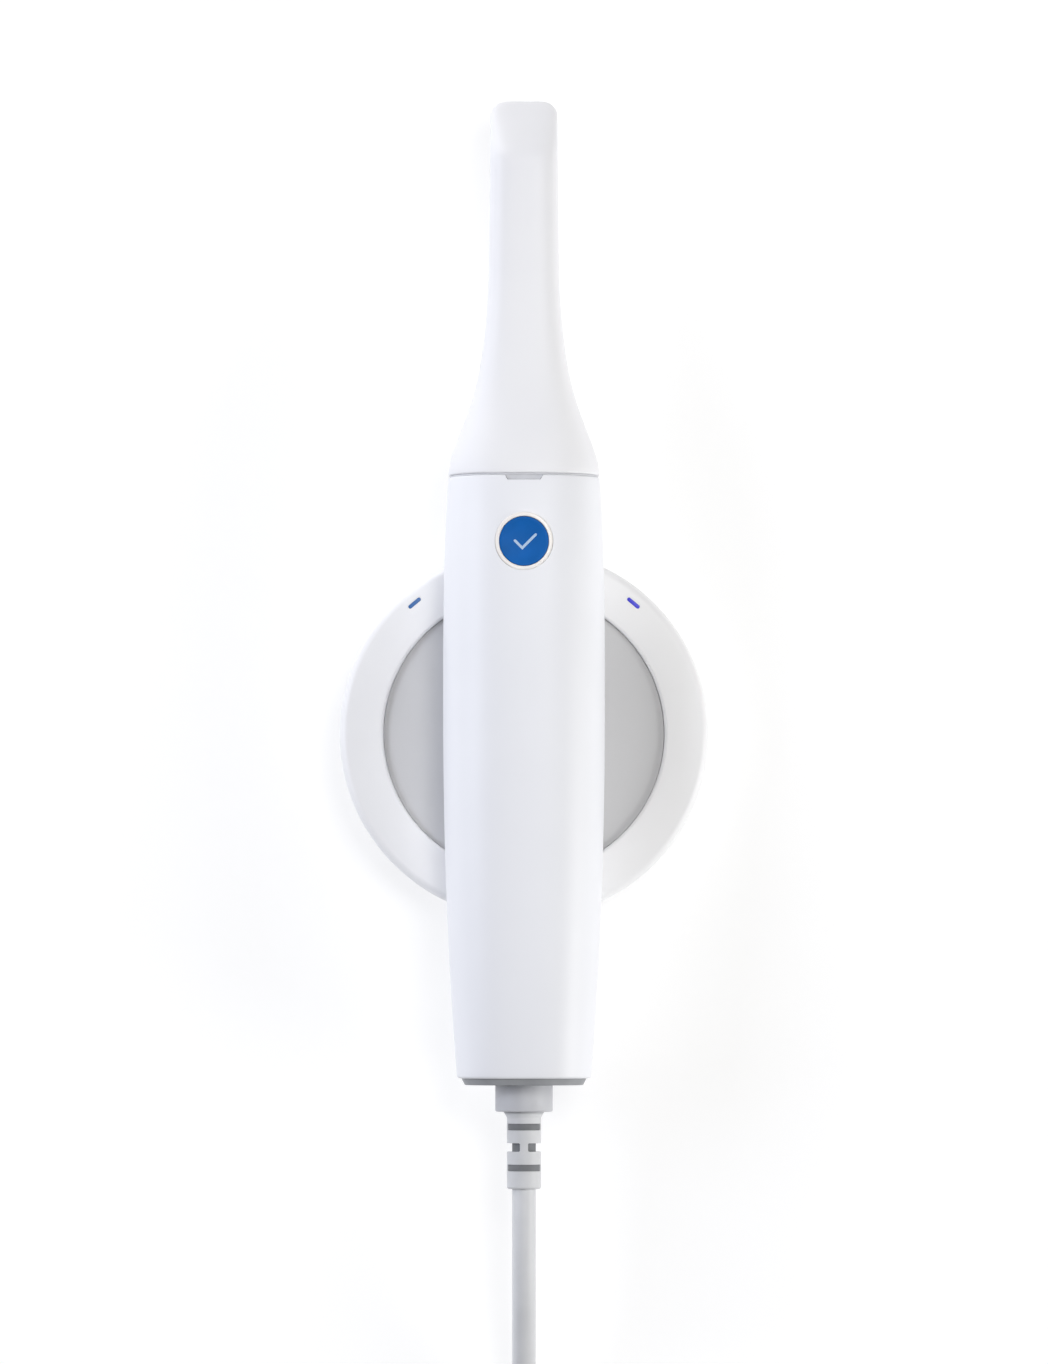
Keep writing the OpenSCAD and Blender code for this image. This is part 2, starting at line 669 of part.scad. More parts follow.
// ---- free cord ----
// The cord's route from the strain relief to the coil, then from the coil to the plug
run_points = [[0, -123, 29.5], [0, -131, 29.5], [0, -140, 28.9], [0, -150, 27], [0, -160, 23.6],
    [0, -170, 19], [0, -180, 13.9], [0, -190, 9.3], [0, -200, 5.9], [0, -210, 4.3], [0, -221, 4],
    [0, -232, 4]];
tail_points = [[0, -232, 10.4], [0.2, -244, 10.3], [1.4, -256, 8.9], [5, -268, 6.5], [12.5, -278.5, 4.7],
    [23.5, -286.8, 4], [36, -290.8, 4], [48, -291.5, 4]];
coil_x = 45.6;
coil_y = -232;
coil_columns = 4;
coil_layers = 2;
coil_in_r = coil_x - (coil_columns - 0.5) * cord_d;
coil_out_r = coil_x + cord_d / 2;
tie_t = 0.8;
tie_angle = 18;

function unit(v) = v / norm(v);
// Sweeps a round tube along points that turn gently
module tube(points, r, sides) {
    n = len(points);
    rings = [for (i = [0:n - 1])
        let (t = unit(points[min(i + 1, n - 1)] - points[max(i - 1, 0)]),
            u = unit(cross(t, [0, 0, 1])), v = cross(u, t))
        [for (k = [0:sides - 1]) let (a = 360 * (k + 0.5) / sides) points[i] + r * (cos(a) * u + sin(a) * v)]];
    all = [for (ring = rings) each ring];
    polyhedron(all, concat(
        [for (i = [0:n - 2]) for (k = [0:sides - 1]) let (m = (k + 1) % sides)
            each [[i * sides + k, (i + 1) * sides + k, i * sides + m],
                [i * sides + m, (i + 1) * sides + k, (i + 1) * sides + m]]],
        [[for (k = [0:sides - 1]) k]],
        [[for (k = [sides - 1:-1:0]) (n - 1) * sides + k]]), convexity = 6);
}
module coil_profile(grow) {
    w = coil_out_r - coil_in_r + 2 * grow;
    h = coil_layers * cord_d + 2 * grow;
    c = cord_r + grow;
    translate([coil_in_r - grow, tie_t - grow]) union() {
        translate([c, 0]) square([w - 2 * c, h]);
        translate([0, c]) square([w, h - 2 * c]);
        for (x = [c, w - c]) for (z = [c, h - c]) translate([x, z]) circle(r = c);
    }
}
module cord_run() {
    color("lightgray") tube(concat([[0, relief_y0, cord_z]], [for (i = [1:len(run_points) - 1]) run_points[i]]),
        cord_r, 10);
}
module cord_tail() { color("lightgray") tube(tail_points, cord_r, 10); }
module cord_coil() {
    color("lightgray") translate([coil_x, coil_y, 0]) rotate_extrude() coil_profile(0);
}
module cord_tie() {
    color("dimgray") translate([coil_x, coil_y, 0]) rotate([0, 0, -tie_angle / 2])
        rotate_extrude(angle = tie_angle) difference() {
            coil_profile(tie_t);
            coil_profile(0);
        }
}
plug_x = 48;
plug_y = -291.5;
plug_z = 4;
module along_x(x, y, z) { translate([x, y, z]) rotate([0, 90, 0]) children(); }
module plug_relief() {
    color("lightgray") along_x(plug_x - 2, plug_y, plug_z) difference() {
        cylinder(r = cord_r + 0.75, h = 12);
        translate([0, 0, -1]) cylinder(r = cord_r + 0.1, h = 3);
        for (i = [0:2]) translate([0, 0, 2.6 + 3 * i]) difference() {
            cylinder(r = cord_r + 2, h = 1.3);
            translate([0, 0, -1]) cylinder(r = cord_r, h = 4);
        }
    }
}
plug_l = 30;
plug_w = 15.6;
plug_h = 8;
module plug_body() {
    x0 = plug_x + 10;
    color("whitesmoke") intersection() {
        block([x0, plug_y - plug_w / 2, 0], [x0 + plug_l, plug_y + plug_w / 2, plug_h]);
        translate([0, 0, -1]) linear_extrude(plug_h + 2) union() {
            translate([x0, plug_y - plug_w / 2 + 2.5]) square([plug_l, plug_w - 5]);
            translate([x0 + 2.5, plug_y - plug_w / 2]) square([plug_l - 2.5, plug_w]);
            for (s = [-1, 1]) translate([x0 + 2.5, plug_y + s * (plug_w / 2 - 2.5)]) circle(r = 2.5);
        }
    }
}
module plug_shell() {
    x0 = plug_x + 10 + plug_l;
    color("silver") difference() {
        block([x0, plug_y - 6, plug_z - 2.25], [x0 + 12, plug_y + 6, plug_z + 2.25]);
        block([x0 + eps, plug_y - 5.7, plug_z - 1.95], [x0 + 13, plug_y + 5.7, plug_z + 1.95]);
    }
}
module plug_tongue() {
    x0 = plug_x + 10 + plug_l;
    color("dimgray") block([x0 + eps, plug_y - 5.6, plug_z], [x0 + 11, plug_y + 5.6, plug_z + 1.9]);
}

// ---- tip ----
tip_y0 = seam_y + seam_gap;
tip_y1 = tip_y0 + tip_l;
seam_w = handle_w - seam_narrowing;
wand_z = nose_z + wand_lift;
bevel_y = tip_y1 - bevel_l;
end_h = 2.5;
// Share of the way from the wand to the seam, [share of the neck, share of the widening]
neck_curve = [[0, 1], [0.06, 0.965], [0.15, 0.82], [0.25, 0.625], [0.35, 0.44], [0.45, 0.3], [0.56, 0.19],
    [0.68, 0.105], [0.8, 0.05], [0.9, 0.016], [1, 0]];
// A smooth curve through hand-set points, with matched slopes
function slope_at(t, i) = i <= 0 || i >= len(t) - 1
    ? 0 : (t[i + 1][1] - t[i - 1][1]) / (t[i + 1][0] - t[i - 1][0]);
function find(t, x, i = 0) = i >= len(t) - 2 || x <= t[i + 1][0] ? i : find(t, x, i + 1);
function smooth(t, x) = x >= t[len(t) - 1][0] ? t[len(t) - 1][1] : let (i = find(t, x),
    h = t[i + 1][0] - t[i][0], s = (x - t[i][0]) / h,
    m0 = i == 0 ? -0.2 : slope_at(t, i), m1 = slope_at(t, i + 1))
    (2 * pow(s, 3) - 3 * s * s + 1) * t[i][1] + (pow(s, 3) - 2 * s * s + s) * h * m0
    + (3 * s * s - 2 * pow(s, 3)) * t[i + 1][1] + (pow(s, 3) - s * s) * h * m1;
function widening(y) = smooth(neck_curve, max(0, (y - tip_y0) / neck_l));
// The wand narrows a little towards its end
function wand_taper(y) = 0.5 * max(0, (y - tip_y0 - neck_l) / (tip_l - neck_l));
function tip_half_w(y) = wand_w / 2 - wand_taper(y) + widening(y) * (seam_w - wand_w) / 2;
function tip_top(y, wall) = min(
    (wand_z + wand_d / 2) * (1 - widening(y)) + top_at(seam_y) * widening(y) - wall,
    wand_z - wand_d / 2 + end_h + (tip_y1 - y) * (wand_d - end_h) / bevel_l - wall * 1.414);
function tip_back(y, wall) = (wand_z - wand_d / 2) * (1 - widening(y)) + back_at(seam_y) * widening(y) + wall;
function tip_power(y) = 3.4 - 0.8 * widening(y);
tip_steps = 20;
// The rounded far end in plan, as an inset that grows over the last few millimetres
end_round = 4.2;
function end_inset(y, stop) = let (d = max(0, y - (stop - end_round)) / end_round)
    end_round * (1 - sqrt(max(0, 1 - d * d)));
function tip_ring(y, wall, inset, stop) = [for (i = [0:2 * tip_steps - 1])
    let (p = oval(tip_half_w(y) - wall - inset - end_inset(y, stop), tip_top(y, wall) - inset,
        tip_back(y, wall) + inset, tip_power(y), 180 * i / tip_steps)) [p[0], y, p[1]]];
neck_ys = [for (i = [1:14]) tip_y0 + seam_fillet + (neck_l + 6) * i / 14];
wand_ys = [for (i = [1:3]) tip_y0 + seam_fillet + neck_l + 6 + (bevel_y - tip_y0 - neck_l - 6.5) * i / 3];
bevel_ys = [for (f = [0.06, 0.2, 0.4, 0.6, 0.76, 0.86, 0.93, 0.975]) bevel_y + bevel_l * f];
module tip_solid(wall, y0, y1) {
    rings = concat(
        wall > 0 ? [tip_ring(y0, wall, 0, y1)] : [for (i = [0:3]) let (a = 90 - 30 * i)
            tip_ring(y0 + seam_fillet * (1 - sin(a)), 0, seam_fillet * (1 - cos(a)), y1)],
        [for (y = concat(neck_ys, wand_ys, bevel_ys)) if (y < y1 - 0.3) tip_ring(y, wall, 0, y1)],
        [tip_ring(y1, wall, 0, y1 + 0.02)]);
    n = 2 * tip_steps;
    m = len(rings);
    polyhedron([for (r = rings) each r], concat(
        [for (i = [0:m - 2]) for (j = [0:n - 1]) let (k = (j + 1) % n)
            each [[i * n + j, i * n + k, (i + 1) * n + j], [i * n + k, (i + 1) * n + k, (i + 1) * n + j]]],
        [[for (j = [n - 1:-1:0]) j]],
        [[for (j = [0:n - 1]) (m - 1) * n + j]]), convexity = 6);
}
window_y1 = tip_y1 - tip_wall - 1.4;
window_y0 = window_y1 - window_l;
window_w = wand_w - 2 * (tip_wall + window_margin);
mirror_w = wand_w - 2 * (tip_wall + mirror_margin);
module tip_shell() {
    color("white") difference() {
        tip_solid(0, tip_y0, tip_y1);
        tip_solid(tip_wall, tip_y0 - 1, tip_y1 - tip_wall);
        block([-window_w / 2, window_y0, wand_z - wand_d],
            [window_w / 2, window_y1, wand_z - wand_d / 2 + tip_wall + 0.6]);
    }
}
module tip_sleeve() {
    wall = 1.5;
    plate = 1.4;
    y = tip_y0 + 0.1;
    color("gainsboro") difference() {
        union() {
            rod(0, nose_z, spigot_r + wall, y, y + sleeve_l);
            skin([for (s = [y, y + plate]) concat(
                [for (i = [0:half_steps]) sleeve_point(s, 180 * i / half_steps)],
                [for (i = [0:half_steps]) sleeve_point(s, 180 + 180 * i / half_steps)])]);
        }
        rod(0, nose_z, spigot_r + sleeve_fit, y - 1, y + sleeve_l + 1);
    }
}
function sleeve_point(y, t) = let (e = tip_y0 + 2.2, p = oval(tip_half_w(e) - tip_wall - 0.3,
    tip_top(e, tip_wall) - 0.3, tip_back(e, tip_wall) + 0.3, tip_power(e), t)) [p[0], y, p[1]];
// The mirror lies at 45 degrees under the slanted end
mirror_l = 15;
mirror_gap = 1.5;
mirror_y = bevel_y + bevel_l / 2 - tip_wall - 0.4;
mirror_z = tip_top(mirror_y, tip_wall) - mirror_gap;
module on_mirror() {
    translate([0, mirror_y, mirror_z]) rotate([-45, 0, 0]) translate([0, 0, -mirror_t]) children();
}
module tip_mirror() {
    color("aliceblue") on_mirror()
        translate([-mirror_w / 2, -mirror_l / 2, 0]) cube([mirror_w, mirror_l, mirror_t]);
}
module mirror_frame() {
    rim = 0.5;
    color("gray") on_mirror() difference() {
        translate([-mirror_w / 2 - rim, -mirror_l / 2 - rim, -0.3])
            cube([mirror_w + 2 * rim, mirror_l + 2 * rim, mirror_t + 0.3]);
        translate([-mirror_w / 2 - 0.02, -mirror_l / 2 - 0.02, 0])
            cube([mirror_w + 0.04, mirror_l + 0.04, 3]);
        translate([-mirror_w / 2 + 0.3, -mirror_l / 2 + 0.3, -1]) cube([mirror_w - 0.6, mirror_l - 0.6, 3]);
    }
}

cradle_sole();
cradle_base();
cradle_ballast();
cradle_ring();
cradle_pad();
cradle_screws();
mark_left();
mark_right();
upper_shell();
lower_shell();
heel_cap();
heel_screws();
button_bezel();
switch_board();
button_switch();
haptic_motor();
front_bulkhead();
bulkhead_screws();
seam_gasket();
nose_barrel();
nose_ring();
nose_window();
optical_frame();
camera_barrels();
camera_lenses();
camera_boards();
image_sensors();
projector_barrel();
projector_lens();
pattern_chip();
light_board();
heat_sink();
chassis_rail();
board_standoffs();
main_board();
board_chips();
board_socket();
cord_clamp();
gland();
strain_relief();
cord_inner();
cord_run();
cord_coil();
cord_tail();
cord_tie();
plug_relief();
plug_body();
plug_shell();
plug_tongue();
button_cap();
button_tick();
tip_shell();
tip_sleeve();
tip_mirror();
mirror_frame();
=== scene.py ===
import bpy
import bmesh
import json
import math
from mathutils import Vector, Matrix
from mathutils.bvhtree import BVHTree


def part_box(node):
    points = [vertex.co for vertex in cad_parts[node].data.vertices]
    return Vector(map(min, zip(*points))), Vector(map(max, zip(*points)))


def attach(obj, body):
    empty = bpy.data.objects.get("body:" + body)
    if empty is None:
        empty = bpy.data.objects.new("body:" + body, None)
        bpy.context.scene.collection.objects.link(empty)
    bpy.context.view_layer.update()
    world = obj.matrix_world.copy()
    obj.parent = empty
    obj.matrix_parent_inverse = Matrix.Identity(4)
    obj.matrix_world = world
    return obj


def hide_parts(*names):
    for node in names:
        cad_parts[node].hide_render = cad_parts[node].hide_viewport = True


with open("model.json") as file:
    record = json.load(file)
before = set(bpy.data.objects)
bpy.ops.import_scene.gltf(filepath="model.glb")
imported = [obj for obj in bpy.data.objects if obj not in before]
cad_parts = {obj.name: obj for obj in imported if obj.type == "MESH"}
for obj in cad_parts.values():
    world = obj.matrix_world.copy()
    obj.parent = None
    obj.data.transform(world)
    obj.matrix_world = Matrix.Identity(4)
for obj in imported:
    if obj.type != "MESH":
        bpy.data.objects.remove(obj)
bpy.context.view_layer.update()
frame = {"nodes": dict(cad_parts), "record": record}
mm = 0.001
print("frame loaded")


# A node's lowest and highest corners, in millimetres
def boxMm(node):
    return [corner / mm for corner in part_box(node)]


# Colour and node helpers
def srgbHex(text):
    def toLinear(v):
        return v / 12.92 if v <= 0.04045 else ((v + 0.055) / 1.055) ** 2.4
    parts = [int(text[i:i + 2], 16) / 255 for i in (0, 2, 4)]
    return tuple(toLinear(v) for v in parts) + (1.0,)


def addNode(tree, kind, values=None, links=None):
    node = tree.nodes.new(kind)
    for key, value in (values or {}).items():
        if isinstance(key, str) and hasattr(node, key):
            setattr(node, key, value)
        else:
            node.inputs[key].default_value = value
    for key, source in (links or {}).items():
        tree.links.new(source, node.inputs[key])
    return node


def startMaterial(name):
    material = bpy.data.materials.new(name)
    material.use_nodes = True
    tree = material.node_tree
    tree.nodes.clear()
    shader = addNode(tree, "ShaderNodeBsdfPrincipled")
    output = addNode(tree, "ShaderNodeOutputMaterial")
    tree.links.new(shader.outputs[0], output.inputs[0])
    place = addNode(tree, "ShaderNodeTexCoord").outputs["Object"]
    return material, tree, shader, place


def ramp(tree, source, low, high, start=0.3, end=0.7):
    node = addNode(tree, "ShaderNodeValToRGB", links={"Fac": source})
    node.color_ramp.elements[0].position = start
    node.color_ramp.elements[1].position = end
    node.color_ramp.elements[0].color = low
    node.color_ramp.elements[1].color = high
    return node.outputs["Color"]


def grey(v):
    return (v, v, v, 1.0)


# Scale of a pattern whose features are so many millimetres apart
def patternScale(sizeMm):
    return 1 / (sizeMm * mm)


def linkSurface(tree, shader, tint, gloss, bump):
    tree.links.new(tint, shader.inputs["Base Color"])
    tree.links.new(gloss, shader.inputs["Roughness"])
    tree.links.new(bump.outputs["Normal"], shader.inputs["Normal"])


# Moulded plastic: slow drift of shade from the melt, fine grain from the mould's eroded surface
def mouldedPlastic(name, s):
    material, tree, shader, place = startMaterial(name)
    drift = addNode(tree, "ShaderNodeTexNoise", {"Scale": patternScale(s["driftMm"]), "Detail": 3.0},
                    {"Vector": place})
    grain = addNode(tree, "ShaderNodeTexNoise", {"Scale": patternScale(s["grainMm"]), "Detail": 2.0},
                    {"Vector": place})
    tint = ramp(tree, drift.outputs["Fac"], srgbHex(s["shade"]), srgbHex(s["colour"]))
    spread = s["roughSpread"]
    gloss = ramp(tree, grain.outputs["Fac"], grey(s["rough"] - spread), grey(s["rough"] + spread))
    bump = addNode(tree, "ShaderNodeBump", {"Strength": s["bump"], "Distance": s["grainMm"] * mm * 0.4},
                   {"Height": grain.outputs["Fac"]})
    linkSurface(tree, shader, tint, gloss, bump)
    shader.inputs["IOR"].default_value = s.get("ior", 1.5)
    shader.inputs["Coat Weight"].default_value = s.get("coat", 0.0)
    shader.inputs["Coat Roughness"].default_value = s.get("coatRough", 0.1)
    if "glow" in s:
        shader.inputs["Emission Color"].default_value = srgbHex(s["colour"])
        shader.inputs["Emission Strength"].default_value = s["glow"]
    return material


# Rubber and cable jacket: matt, softly mottled, with a sheen where it turns away
def softRubber(name, s):
    material, tree, shader, place = startMaterial(name)
    mottle = addNode(tree, "ShaderNodeTexNoise", {"Scale": patternScale(s["mottleMm"]), "Detail": 5.0},
                     {"Vector": place})
    pores = addNode(tree, "ShaderNodeTexVoronoi", {"Scale": patternScale(s["poreMm"])}, {"Vector": place})
    tint = ramp(tree, mottle.outputs["Fac"], srgbHex(s["shade"]), srgbHex(s["colour"]))
    spread = 0.06
    gloss = ramp(tree, mottle.outputs["Fac"], grey(s["rough"] - spread), grey(s["rough"] + spread))
    bump = addNode(tree, "ShaderNodeBump", {"Strength": s["bump"], "Distance": s["poreMm"] * mm * 0.3},
                   {"Height": pores.outputs["Distance"]})
    linkSurface(tree, shader, tint, gloss, bump)
    shader.inputs["IOR"].default_value = 1.52
    shader.inputs["Sheen Weight"].default_value = s.get("sheen", 0.1)
    return material


# Metal: stretched scratches for turning and brushing, even grain for casting and blasting
def workedMetal(name, s):
    material, tree, shader, place = startMaterial(name)
    stretch = addNode(tree, "ShaderNodeMapping", {"Scale": s["stretch"]}, {"Vector": place})
    marks = addNode(tree, "ShaderNodeTexNoise",
                    {"Scale": patternScale(s["markMm"]), "Detail": 6.0, "Roughness": 0.7},
                    {"Vector": stretch.outputs["Vector"]})
    tint = ramp(tree, marks.outputs["Fac"], srgbHex(s["shade"]), srgbHex(s["colour"]))
    spread = 0.07
    gloss = ramp(tree, marks.outputs["Fac"], grey(s["rough"] - spread), grey(s["rough"] + spread))
    bump = addNode(tree, "ShaderNodeBump", {"Strength": s["bump"], "Distance": s["markMm"] * mm * 0.3},
                   {"Height": marks.outputs["Fac"]})
    linkSurface(tree, shader, tint, gloss, bump)
    shader.inputs["Metallic"].default_value = 1.0
    return material


# Optical glass: clear, with a faint bluish coating that shows as it turns away
def coatedGlass(name, s):
    material, tree, shader, place = startMaterial(name)
    haze = addNode(tree, "ShaderNodeTexNoise", {"Scale": patternScale(s["hazeMm"]), "Detail": 2.0},
                   {"Vector": place})
    gloss = ramp(tree, haze.outputs["Fac"], grey(s["rough"]), grey(s["rough"] + s["roughRise"]))
    tree.links.new(gloss, shader.inputs["Roughness"])
    shader.inputs["Base Color"].default_value = srgbHex(s["colour"])
    shader.inputs["Metallic"].default_value = s["metallic"]
    shader.inputs["Alpha"].default_value = s["alpha"]
    shader.inputs["IOR"].default_value = s["ior"]
    shader.inputs["Coat Weight"].default_value = s["coat"]
    shader.inputs["Coat Tint"].default_value = srgbHex(s["coatTint"])
    return material


# Woven strap: two crossed sets of threads that catch the light in turn
def wovenStrap(name, s):
    material, tree, shader, place = startMaterial(name)
    waveTurn = 6.28
    scale = patternScale(s["threadMm"]) / waveTurn
    warp = addNode(tree, "ShaderNodeTexWave", {"bands_direction": "X", "Scale": scale, "Distortion": 0.6},
                   {"Vector": place})
    weft = addNode(tree, "ShaderNodeTexWave", {"bands_direction": "Y", "Scale": scale, "Distortion": 0.6},
                   {"Vector": place})
    cloth = addNode(tree, "ShaderNodeMath", {"operation": "MAXIMUM"},
                    {0: warp.outputs["Fac"], 1: weft.outputs["Fac"]})
    tint = ramp(tree, cloth.outputs[0], srgbHex(s["shade"]), srgbHex(s["colour"]), 0.2, 0.9)
    bump = addNode(tree, "ShaderNodeBump", {"Strength": 0.6, "Distance": s["threadMm"] * mm * 0.3},
                   {"Height": cloth.outputs[0]})
    tree.links.new(tint, shader.inputs["Base Color"])
    tree.links.new(bump.outputs["Normal"], shader.inputs["Normal"])
    shader.inputs["Roughness"].default_value = 0.85
    shader.inputs["Sheen Weight"].default_value = 0.3
    return material


# Circuit board: solder mask with copper tracks showing faintly through it
def circuitBoard(name, s):
    material, tree, shader, place = startMaterial(name)
    tracks = addNode(tree, "ShaderNodeTexBrick",
                     {"Scale": patternScale(s["trackMm"]), "Mortar Size": 0.05, "Color1": srgbHex(s["mask"]),
                      "Color2": srgbHex(s["maskShade"]), "Mortar": srgbHex(s["track"])}, {"Vector": place})
    bump = addNode(tree, "ShaderNodeBump", {"Strength": 0.2, "Distance": 0.05 * mm},
                   {"Height": tracks.outputs["Fac"]})
    tree.links.new(tracks.outputs["Color"], shader.inputs["Base Color"])
    tree.links.new(bump.outputs["Normal"], shader.inputs["Normal"])
    shader.inputs["Roughness"].default_value = 0.3
    shader.inputs["Coat Weight"].default_value = 0.4
    return material


